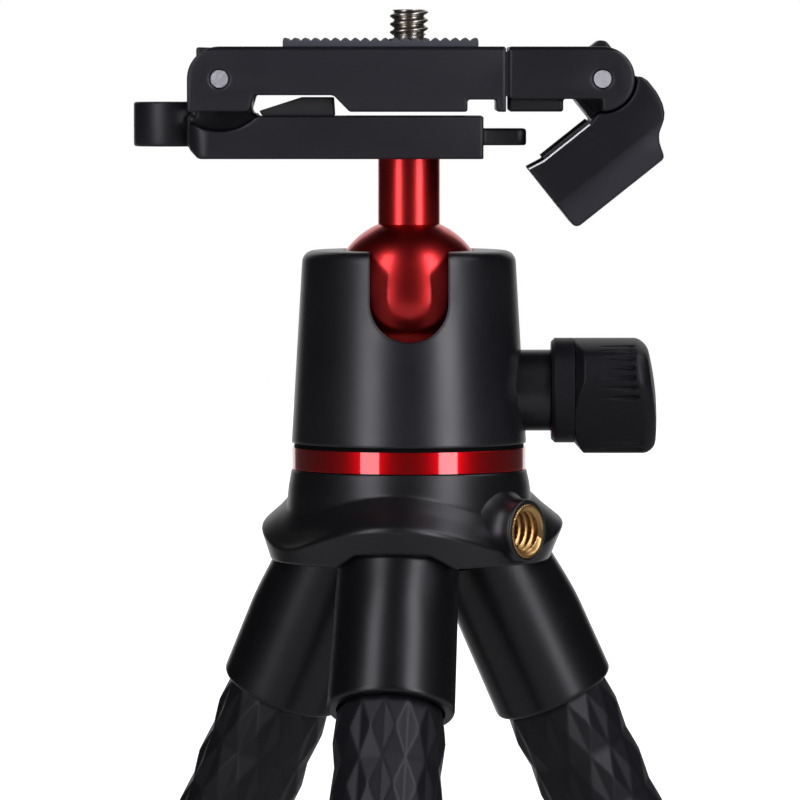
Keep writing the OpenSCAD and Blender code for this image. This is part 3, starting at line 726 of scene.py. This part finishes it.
@dataclass
class Hub:
    """The moulded hub: a swelling ridge over each leg, a notch under it, and a boss with a brass thread."""

    ring_z: float
    turn: float = HUB_TURN
    ring_r: float = 19.0
    height: float = HUB_HEIGHT
    ridge_r: float = 24.0
    swell: float = 2.0
    foot_r: float = 22.5
    notch_h: float = 2.2
    notch_top: float = 5.6
    notch_foot: float = 9.4
    insert_z: float = -9.35
    insert_face: float = 23.7
    insert_r: float = 4.375
    boss_r: float = 5.1

    def rings(self) -> Array:
        """Rings of the hub.

        Each control ring has radius r + swell w and height z + rise w, with w the cosine of three times the
        angle from a leg. The rings are joined by straight steps, and then averaged with their neighbours to
        round the corners. The lowest edge is lifted over each leg, within the width of the notch. Points
        behind the boss are pushed in along its axis, which leaves a pocket for the brass.

        Returns:
            Rings as rows by columns by 3, in millimetres, from the top to the bottom.
        """
        t = np.radians(self.turn) + around(288)
        w = np.cos(3 * (t - math.radians(self.turn)))
        away = np.abs((t - math.radians(self.turn) + math.pi / 3) % (2 * math.pi / 3) - math.pi / 3)
        aside = self.foot_r * np.sin(away)
        flank = self.notch_foot - self.notch_top
        lift = self.notch_h * np.clip((self.notch_foot - aside) / flank, 0.0, 1.0)
        table = [(POLE, 0, 0, 0), (self.ring_r - 1.0, 0, 0, 0), (self.ring_r, 0, 0, 0),
                 (self.ring_r + 0.5, 0, -2.6, 1), (self.ring_r + 0.8, 0, -5.2, 1.9),
                 ((self.ring_r + self.ridge_r) / 2, self.swell / 2, -7.6, 1.95),
                 (self.ridge_r - 0.5, self.swell, -9.9, 2), (self.ridge_r, self.swell, -10.6, 2)]
        radius = [r + s * w for r, s, z, rise in table]
        height = [z + rise * w for r, s, z, rise in table]
        low = -self.height + lift
        share = (low - height[-1]) / (-self.height - height[-1])
        edge = radius[-1] + share * (self.foot_r + self.swell / 4 * w - radius[-1])
        radius += [edge, edge - 1.2, np.full_like(w, 12.0), np.full_like(w, POLE)]
        height += [low, low, np.full_like(w, -self.height), np.full_like(w, -self.height)]
        counts = [2, 3, 8, 10, 14, 12, 4, 14, 4, 6, 2]
        steps = [np.linspace(k, k + 1, c, endpoint=False) for k, c in enumerate(counts)]
        at = np.concatenate(steps + [[len(counts)]])
        lower = np.minimum(at.astype(int), len(counts) - 1)
        part = (at - lower)[:, None]
        r = np.array(radius)[lower] * (1 - part) + np.array(radius)[lower + 1] * part
        z = np.array(height)[lower] * (1 - part) + np.array(height)[lower + 1] * part
        for _ in range(2):
            r[1:-1] = 0.25 * r[:-2] + 0.5 * r[1:-1] + 0.25 * r[2:]
            z[1:-1] = 0.25 * z[:-2] + 0.5 * z[1:-1] + 0.25 * z[2:]
        z = np.minimum(z, 0.0)
        out = math.radians(self.turn + 60)
        along = r * np.cos(t - out)
        aside = np.hypot(r * np.sin(t - out), z - self.insert_z)
        push = np.where((aside < self.boss_r - 0.3) & (along > 0.0), 14.0 - along, 0.0)
        return np.stack([r * np.cos(t) + push * math.cos(out), r * np.sin(t) + push * math.sin(out),
                         z + self.ring_z], -1)

    def on_insert(self, local: Array) -> Array:
        """Carries points with Z out along the thread insert to the scene, in metres."""
        a = math.radians(self.turn + 60)
        out = np.array([math.cos(a), math.sin(a), 0.0])
        side = np.cross(UP, out)
        x, y, z = np.moveaxis(local, -1, 0)
        origin = (self.ring_z + self.insert_z) * UP
        return (origin + z[..., None] * out + x[..., None] * side + y[..., None] * UP) * MM

    def build_boss(self) -> None:
        """Makes the round boss, turned about the insert's axis and cut level with the hub's underside."""
        f, r = self.insert_face, self.boss_r
        t = np.linspace(0, np.pi / 2, 7)
        flare = np.linspace(0, 1, 12)
        profile = [(14.2, POLE), (14.2, r + 1.0), (17.5, r + 3.2)]
        profile += [(17.5 + 5.2 * k, r + 3.2 * (1 - k) ** 2) for k in flare[1:]]
        profile += [(f - 0.45 + 0.45 * math.sin(k), r - 0.45 + 0.45 * math.cos(k)) for k in t]
        profile += [(f, self.insert_r + 0.12), (f - 0.35, self.insert_r + 0.02), (14.5, self.insert_r + 0.02),
                    (14.5, POLE)]
        points, faces = closed_tube(turned(profile, 96))
        points[:, 1] = np.maximum(points[:, 1], 0.05 - self.height - self.insert_z)
        Piece("insert_boss", self.on_insert(points), faces, HUB_BLACK, "black_plastic", split=50).on("base")

    def build_insert(self) -> None:
        """Makes the brass insert.

        Its rim has straight knurls, r = R + a |sin(n t)|, and its bore a thread: the radius follows a
        triangle wave between crest and root.
        """
        t = around(240)
        f, outer, root, crest = self.insert_face + 0.12, self.insert_r - 0.16, 3.75, 3.1
        knurl = outer + 0.16 * np.abs(np.sin(22 * t))
        plain = np.ones_like(t)
        face = [(f - 9.0, POLE * plain), (f - 9.0, outer * plain), (f - 0.8, knurl), (f - 0.12, knurl),
                (f, knurl - 0.12), (f, 3.95 * plain), (f - 0.2, (root + 0.05) * plain)]
        z = np.linspace(f - 0.35, f - 8.6, 150)
        bore = root - (root - crest) * np.clip(1.5 * thread_wave(z, t) - 0.25, 0, 1)
        radius = np.concatenate([np.stack([r for _, r in face]), bore, POLE * plain[None]])
        depth = np.concatenate([[d for d, _ in face], z, [f - 8.6]])
        points, faces = closed_tube(wound(radius, depth, t))
        skin = Piece("brass_insert", self.on_insert(points), faces, BRASS, "brass", split=40)
        skin.on("base", "thread_insert")

    def build(self) -> None:
        """Makes the hub's skin, the boss and the insert."""
        points, faces = closed_tube(self.rings() * MM)
        Piece("hub_skin", points, faces, HUB_BLACK, "black_plastic").on("base", "hub")
        self.build_boss()
        self.build_insert()


@dataclass
class Knob:
    """The side knob's grip: three fluted lobes between three smooth flats, and a skewed dome at its end."""

    start: float
    axis_z: float
    length: float = 13.4
    lobe_r: float = 10.15
    flat_r: float = 8.3
    inner_r: float = 8.4
    turn: float = -54.0
    dome: float = 45.0
    dome_drop: float = 4.5
    flutes: int = 7
    flute_step: float = 9.7

    def outline(self, t: Array) -> Array:
        """Radius at each angle: the least of the lobe circle and three wide circles, the bowed flats."""
        bow = 2.2 * self.lobe_r
        shift = self.flat_r - bow
        angle = t[None, :] - np.radians([[0.0], [120.0], [240.0]])
        flats = shift * np.cos(angle) + np.sqrt(bow**2 - (shift * np.sin(angle)) ** 2)
        sides = np.concatenate([flats, np.full((1, len(t)), self.lobe_r)])
        return -np.log(np.exp(-6.0 * sides).sum(0)) / 6.0 + 0.05

    def build(self) -> None:
        """Makes the grip.

        Along the axis the radius is held to a chamfer at the inner end, stays level, and closes in a round
        corner. Each flute is a V of the distance from its middle line, whose depth and width grow along the
        axis and end at once. The end is the cap of a sphere whose apex lies below the axis: each point of
        the last rings is drawn back by d^2 / 2R, with d its distance from the apex.
        """
        t = around(600)
        a = t + math.radians(self.turn)
        corner = np.linspace(0, np.pi / 2, 14)[1:]
        level = self.length - 2.0
        side = np.concatenate([np.linspace(0.0, 2.0, 12), np.linspace(2.2, level, 56)])
        x = np.concatenate([side, level + 2.0 * np.sin(corner)])
        shrink = np.concatenate([np.zeros(len(side)), 2.0 * (1 - np.cos(corner))])
        r = np.minimum(self.outline(t)[None, :], self.inner_r + 1.15 * x[:, None]) - shrink[:, None]
        near = t % (2 * math.pi / 3) - math.pi / 3
        middle = (np.arange(self.flutes) - (self.flutes - 1) / 2) * math.radians(self.flute_step)
        ramp = np.clip((x - 3.6) / 6.2, 0.0, 1.0) * (1.0 - smoothstep(x, 10.9, 11.4))
        width = math.radians(0.36 * self.flute_step) * (0.25 + 0.75 * ramp[:, None])
        for m in middle:
            r -= 0.6 * ramp[:, None] * np.clip(1.0 - np.abs(near[None, :] - m) / width, 0.0, 1.0)
        inner = np.linspace(1, 0.02, 16)[1:]
        radius = np.concatenate([np.full((1, len(t)), POLE), r, inner[:, None] * r[-1][None, :]])
        along = np.concatenate([[0.0], x, np.full(len(inner), self.length)])[:, None]
        y, z = radius * np.sin(a), -radius * np.cos(a)
        back = (y * y + (z + self.dome_drop) ** 2) / (2.0 * self.dome)
        along = along - back * smoothstep(along, 5.0, self.length)
        rings = np.stack([along + self.start, y, z + self.axis_z], -1)
        points, faces = closed_tube(rings * MM)
        Piece("knob_skin", points, faces, KNOB_BLACK, "knob_rubber", split=50).on("knob", "knob_grip")


@dataclass
class CameraScrew:
    """The captive camera screw: a thread with a relief at its foot, a plain journal, and a slotted head."""

    plate_z: float
    plate_top: float
    pad_top: float
    top_z: float
    major: float = 3.1
    minor: float = 2.45
    journal: float = 3.3
    head_r: float = 5.5

    def build(self) -> None:
        """Makes the thread, whose radius follows a triangle wave, and the slotted head."""
        t = around(144)
        head_z = self.plate_z + 4.4
        z = np.linspace(self.pad_top + 0.05, self.top_z, 120)
        wave = 1.0 - thread_wave(z, t)
        thread = self.minor + (self.major - self.minor) * np.clip(1.45 * wave - 0.2, 0, 1)
        thread = np.minimum(thread, (self.minor - 0.05 + 3.0 * (self.top_z - z))[:, None])
        thread = np.minimum(thread, (self.minor + 1.6 * np.maximum(z - self.pad_top - 0.35, 0.0))[:, None])
        lower = [(head_z, POLE), (head_z, self.journal), (self.pad_top - 0.15, self.journal),
                 (self.pad_top - 0.05, self.journal - 0.3)]
        upper = [(self.top_z, 1.9), (self.top_z - 0.12, 1.6), (self.top_z - 0.12, POLE)]
        ones = np.ones((1, len(t)))
        radius = np.concatenate([*[r * ones for _, r in lower], thread, *[r * ones for _, r in upper]])
        height = np.concatenate([[h for h, _ in lower], z, [h for h, _ in upper]])
        points, faces = closed_tube(wound(radius, height, t) * MM)
        Piece("screw_thread", points, faces, SCREW_STEEL, "steel", split=50).on("screw", "camera_screw")
        disc = [(head_z, self.head_r - 0.2), (head_z + 0.2, self.head_r), (head_z + 1.05, self.head_r),
                (head_z + 1.25, self.head_r - 0.2)]
        points, faces = closed_tube(turned(disc, 96) * MM)
        Piece("screw_head", points, faces, STEEL, "steel", split=40).on("screw")
        reach = math.asin(0.7 / self.head_r)
        arc = np.linspace(-math.pi / 2 + reach, math.pi / 2 - reach, 40)
        for side, name in ((1, "screw_slot_right"), (-1, "screw_slot_left")):
            outline = np.stack([side * self.head_r * np.cos(arc), self.head_r * np.sin(arc)], -1)
            points, faces = prism(outline, self.plate_z + 3.15, self.plate_z + 4.45, 2)
            Piece(name, points * MM, faces, STEEL, "steel", smooth=False, bevel=0.15).on("screw")


@dataclass
class Pads:
    """Rubber: the ribbed pad on the plate, the wedge on the bar and the strips on the jaw."""

    plate_top: float
    bar_top: float
    half_d: float = HALF_D
    pad_l: float = 31.3
    pad_x: float = -20.2
    pad_h: float = 1.4
    pitch: float = 1.6

    def build_ribbed(self) -> None:
        """Makes the ribbed pad: its top is a cosine wave along X, flat at the crests, and its sides tuck in."""
        x = np.linspace(0.12, self.pad_l - 0.12, 340)
        wave = 0.5 + 0.5 * np.cos(2 * np.pi * (x - 0.4) / self.pitch)
        top = self.pad_h - 0.5 + 0.5 * wave**0.75
        top = np.minimum(top, self.pad_h - 0.12 + 0.4 * np.minimum(x, self.pad_l - x))
        xs = np.concatenate([[0.0], [0.0], x, [self.pad_l], [self.pad_l]])
        zs = np.concatenate([[0.0], [self.pad_h - 0.55], top, [self.pad_h - 0.55], [0.0]])
        deep = self.half_d - 1.0
        y = np.array([-deep, -deep + 0.06, -deep + 0.18, deep - 0.18, deep - 0.06, deep])
        tuck = np.array([0.16, 0.05, 0.0, 0.0, 0.05, 0.16])
        z = np.maximum(zs[None, :] - tuck[:, None] * (zs[None, :] > 0), 0.0)
        rings = np.stack([np.broadcast_to(xs[None, :] + self.pad_x, z.shape),
                          np.broadcast_to(y[:, None], z.shape), z + self.plate_top], -1)
        count = len(xs)
        faces = grid_faces(6, count, True).tolist()
        faces += [list(range(count))[::-1], list(range(5 * count, 6 * count))]
        Piece("ribbed_rubber", rings.reshape(-1, 3) * MM, faces, GREY_RUBBER, "grey_rubber", split=60).on(
            "plate", "ribbed_pad")

    def build_wedge(self) -> None:
        """Makes the wedge pad on the bar, a rounded prism across the bar."""
        z = self.bar_top
        outline = [(-23.4, z), (-12.0, z), (-12.2, z + 3.0), (-17.5, z + 3.0), (-24.0, z + 0.9)]
        wedge = bar_piece("wedge_rubber", outline, -self.half_d + 2, self.half_d - 2, PAD_RUBBER,
                          "black_rubber", split=35, bevel=0.25)
        wedge.on("mount", "lower_jaw_pad")

    def build_jaw_strips(self) -> None:
        """Makes the two strips on the jaw's rims, each a rounded bar inside the box of the CAD strips."""
        outline = on_jaw([(-5.7, -4.3), (-15.2, -4.3), (-15.2, -3.8), (-5.7, -3.8)])
        for name, lo, hi in (("jaw_strip_front", -13.6, -9.9), ("jaw_strip_back", 9.9, 13.6)):
            made = bar_piece(name, outline, lo, hi, PAD_RUBBER, "black_rubber", split=35, bevel=0.12).on("jaw")
            if name == "jaw_strip_front":
                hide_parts("jaw_pad")

    def build(self) -> None:
        """Makes the three kinds of pad."""
        self.build_ribbed()
        self.build_wedge()
        self.build_jaw_strips()


@dataclass
class Trim:
    """Small trim: white strips of painted highlight along the jaw's inner edges and the heel's edge, the square
    heel, and a dark block in the gap between plate and slider that paints the slot's shade.
    """

    plate_z: float
    plate_top: float
    plate_right: float
    gap: float
    heel_w: float = 7.2

    def build(self) -> None:
        """Makes each piece as a prism along Y."""
        d, w = HALF_D, self.heel_w
        # White strips of painted highlight along the jaw's inner edges.
        edge = on_jaw([(-6.1, -4.3), (-15.6, -4.3), (-18.15, -3.82), (-18.1, -4.05), (-15.6, -4.55),
                       (-6.1, -4.55)])
        for name, lo, hi in (("jaw_edge_front", -d - 0.03, -d + 0.1), ("jaw_edge_back", d - 0.1, d + 0.03)):
            bar_piece(name, edge, lo, hi, EDGE_PAINTED_HIGHLIGHT, "black_metal", smooth=False).on("jaw")
        heel = on_jaw([(-5.45, -5.0), (-4.0, -5.0), (-4.0, 0.5), (-5.0, 1.4), (-5.45, 0.6)])
        bar_piece("jaw_heel", heel, -w, w, BLACK_METAL, "black_metal", smooth=False).on("jaw")
        # A white strip of painted highlight along the heel's edge.
        line = on_jaw([(-5.5, -5.0), (-5.32, -5.0), (-5.32, 0.6), (-5.5, 0.6)])
        bar_piece("heel_edge", line, -w - 0.04, -w + 0.1, EDGE_PAINTED_HIGHLIGHT, "black_metal", smooth=False).on("jaw")
        # A dark block filling the gap between plate and slider, painting the slot's shade.
        near, far = self.plate_right - 0.1, self.plate_right + self.gap
        foot, top = self.plate_z + 2.5, self.plate_top - 0.85
        gap_shade_block = bar_piece("plate_bumper", [(near, foot), (far, foot), (far, top), (near, top)],
                           -d + 0.5, d - 0.5, PAD_RUBBER, "black_rubber", smooth=False)
        gap_shade_block.on("plate")


@dataclass
class HingePin:
    """A hinge pin along Y with a chamfered nose at each end, inside the ear's hole."""

    name: str
    node: str
    body: str
    x: float
    z: float
    radius: float = 1.5
    half: float = HALF_D

    def build(self) -> None:
        """Makes the pin by turning its profile about its own axis."""
        r, h = self.radius, self.half
        end = [(-h, POLE), (-h, r - 0.14), (-h + 0.06, r - 0.08), (-h + 1.6, r - 0.08), (-h + 1.6, r)]
        profile = end + [(-s, q) for s, q in reversed(end)]
        points, faces = closed_tube(turned(profile, 64))
        placed = np.stack([points[:, 0] + self.x, points[:, 2], -points[:, 1] + self.z], -1)
        Piece(self.name, placed * MM, faces, PIN_STEEL, "steel", split=25).on(self.body, self.node)


class CadNodes:
    """The CAD nodes that stay in view, each with its finish."""

    def __init__(self, plate_top: float) -> None:
        """Lists the finish of each node, and the machined nodes whose edges are rounded.

        Args:
            plate_top: height of the plate's top face, which is the slider's too.
        """
        self.rounded: tuple[str, ...] = ("base_bar", "top_plate", "slider_block", "jaw_arm")
        # Plate and slider take painted shade along their top band.
        plate = BLACK_METAL.broken_top_painted_shade("plate_anodised_painted_top_shade", plate_top)
        slider = BAR_BLACK.broken_top_painted_shade("slider_anodised_painted_top_shade", plate_top)
        self.finishes: dict[str, Finish] = {
            "housing": HOUSING_BLACK, "base_plug": PLUG_BLACK, "knob_neck": HUB_BLACK,
            "knob_collar": KNOB_BLACK, "base_bar": BAR_BLACK, "top_plate": plate, "slider_block": slider,
            "jaw_arm": JAW_BLACK, "pan_ring": RED_RING, "pan_washer": NYLON_AND_RECESS_SHADE, "pan_shaft": STEEL,
            "collar_screws": STEEL, "clamp_wedge": BRASS, "ball_cup": NYLON, "knob_screw": STEEL,
            "ball_stem": RED_BALL, "stem_bolt": STEEL, "screw_clip": STEEL, "return_springs": STEEL,
            "guide_rods": STEEL}

    def dress(self) -> None:
        """Gives each node its material and smooth shading that breaks at its real edges."""
        for name, finish in self.finishes.items():
            node = frame["nodes"][name]
            node.data.materials.clear()
            node.data.materials.append(finish.build())
            node.data.polygons.foreach_set("use_smooth", np.ones(len(node.data.polygons), bool))
            modify(node, "weld", "WELD", merge_threshold=0.00001)
            if name in self.rounded:
                modify(node, "join_flats", "DECIMATE", decimate_type="DISSOLVE", angle_limit=math.radians(1))
                modify(node, "round_edges", "BEVEL", width=0.42 * MM, segments=4, limit_method="ANGLE",
                       angle_limit=math.radians(40), use_clamp_overlap=False)
            modify(node, "sharp_edges", "EDGE_SPLIT", split_angle=math.radians(24))
            LOG.info("node %s: %s", name, finish.name)


@dataclass
class Studio:
    """White floor and background, two upright strip lights and a soft top fill. Lengths in metres."""

    target: Vector
    distance: float = 1.0
    strip_width: float = 0.36
    strip_height: float = 2.2
    strip_angle: float = 41.0
    right_power: float = 12.4
    left_power: float = 9.6
    strip_lean: float = 8.0

    def build_floor(self) -> None:
        """Makes the floor: pale, with the object's shadow, and lifted to white far behind the object."""
        grid = np.linspace(-4.0, 4.0, 9)
        x, y = np.meshgrid(grid, grid, indexing="ij")
        mesh = bpy.data.meshes.new("floor")
        mesh.from_pydata(np.stack([x, y, np.full_like(x, -0.0002)], -1).reshape(-1, 3).tolist(), [],
                         grid_faces(9, 9, False)[:, ::-1].tolist())
        material = bpy.data.materials.new("floor_paper")
        material.use_nodes = True
        shader = Shader(material.node_tree)
        path = shader.node("ShaderNodeLightPath")
        shown = (shader.value(path, "Is Camera Ray") + shader.value(path, "Is Glossy Ray")
                 + shader.value(path, "Is Transmission Ray")).clamped()
        across, depth, _ = shader.axes(shader.coordinates("Object"))
        wide = (depth * 4.6 - across.math("ABSOLUTE") * 8.0).clamped()
        far = (depth * 2.5 - 0.75).clamped() * wide
        paper = shader.node("ShaderNodeBsdfDiffuse", None, {"Color": (0.55, 0.55, 0.55, 1.0)})
        glow = shader.node("ShaderNodeEmission", None, {"Color": WHITE, "Strength": shown * far * 1.2})
        both = shader.node("ShaderNodeAddShader", None, {0: paper.outputs[0], 1: glow.outputs[0]})
        shader.node("ShaderNodeOutputMaterial", None, {"Surface": both.outputs[0]})
        mesh.materials.append(material)
        floor = added("floor", mesh)

    def build_world(self) -> None:
        """Makes the surroundings: white to the camera and right behind the object, dim elsewhere."""
        world = bpy.data.worlds.new("studio")
        bpy.context.scene.world = world
        world.use_nodes = True
        shader = Shader(world.node_tree)
        path = shader.node("ShaderNodeLightPath")
        across, depth, height = shader.axes(shader.coordinates("Generated"))
        wide = (depth * 10.0 - across.math("ABSOLUTE") * 20.0).clamped()
        tall = (depth * 5.4 - height * 6.0).clamped()
        level = wide * tall * 0.95 + 0.02
        camera = shader.value(path, "Is Camera Ray")
        strength = camera + (1.0 - camera) * level
        glow = shader.node("ShaderNodeBackground", None, {"Color": WHITE, "Strength": strength})
        shader.node("ShaderNodeOutputWorld", None, {"Surface": glow.outputs[0]})

    def lamp(self, name: str, place: Vector, size: tuple[float, float], power: float,
             lean: float = 0.0) -> None:
        """Adds one rectangular lamp that faces the object.

        Args:
            name: the lamp's name.
            place: where it stands.
            size: width and height.
            power: watts.
            lean: turn about its own facing, in degrees.
        """
        light = bpy.data.lights.new(name, "AREA")
        light.shape = "RECTANGLE"
        light.size, light.size_y = size
        light.energy = power
        light.color = (0.93, 0.925, 1.0)
        made = added(name, light)
        made.location = place
        facing = (self.target - place).to_track_quat("-Z", "Y")
        made.rotation_euler = (facing @ Quaternion((0.0, 0.0, 1.0), math.radians(lean))).to_euler()

    def build(self) -> None:
        """Makes floor, world and lamps."""
        self.build_floor()
        self.build_world()
        for side, name, power in ((1, "strip_right", self.right_power), (-1, "strip_left", self.left_power)):
            a = math.radians(self.strip_angle)
            place = self.target + self.distance * Vector((side * math.sin(a), -math.cos(a), 0.25))
            self.lamp(name, place, (self.strip_width, self.strip_height), power, side * -self.strip_lean)
        self.lamp("top_fill", self.target + Vector((0.9, 0.2, 1.2)), (0.8, 0.8), 5.0)


@dataclass
class Camera:
    """The photograph's viewpoint. Lengths in millimetres; the picture is 800 by 800."""

    target: tuple[float, float, float]
    distance: float = 1100.0
    elevation: float = 2.85
    scale: float = 6.17
    picture: int = 800

    def build(self) -> None:
        """Makes the camera, with a lens that shows the target's plane at the photograph's scale."""
        data = bpy.data.cameras.new("camera")
        data.sensor_width = 36.0
        data.lens = 36.0 * self.distance / (self.picture / self.scale)
        data.clip_start = 0.01
        data.clip_end = 50.0
        made = added("camera", data)
        e = math.radians(self.elevation)
        target = Vector(self.target) * MM
        made.location = target + self.distance * MM * Vector((0.0, -math.cos(e), math.sin(e)))
        made.rotation_euler = (target - made.location).to_track_quat("-Z", "Y").to_euler()
        bpy.context.scene.camera = made


def low(node: str) -> Vector:
    """A node's lowest corner in millimetres."""
    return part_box(node)[0] / MM


def high(node: str) -> Vector:
    """A node's highest corner in millimetres."""
    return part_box(node)[1] / MM


def joint_place(name: str) -> Vector:
    """Where a joint is, in millimetres."""
    return Vector(next(j for j in frame["joints"] if j["name"] == name)["pos_m"]) / MM


def main() -> None:
    """Builds each sub-assembly in order."""
    logging.basicConfig(level=logging.INFO, format="%(name)s: %(message)s")
    for old in [o for o in bpy.data.objects if o.name in ("Cube", "Light", "Camera")]:
        bpy.data.objects.remove(old)
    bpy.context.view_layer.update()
    bpy.context.scene.view_settings.view_transform = "Standard"
    ring_z = low("pan_ring").z
    target = (-1.45, 0.0, ring_z + 11.0)
    Camera(target).build()
    Studio(Vector(target) * MM).build()
    Hub(ring_z).build()
    for i, name in enumerate(LEG_NAMES):
        Leg(name, HUB_TURN + 120.0 * i, ring_z - HUB_HEIGHT).build()
    Knob(low("knob_grip").x, joint_place("knob_turn").z).build()
    plate_top, bar_top = low("ribbed_pad").z, low("lower_jaw_pad").z
    CadNodes(plate_top).dress()
    CameraScrew(low("top_plate").z, plate_top, high("ribbed_pad").z, high("camera_screw").z).build()
    Pads(plate_top, bar_top).build()
    left, right = joint_place("plate_flip"), joint_place("jaw_fold")
    plate_right = high("top_plate").x
    gap = low("slider_block").x - plate_right - 0.05
    Trim(low("top_plate").z, plate_top, plate_right, gap).build()
    HingePin("pin_left", "hinge_pin_left", "plate", left.x, left.z).build()
    HingePin("pin_right", "hinge_pin_right", "slider", right.x, right.z).build()


if __name__ == "__main__":
    main()
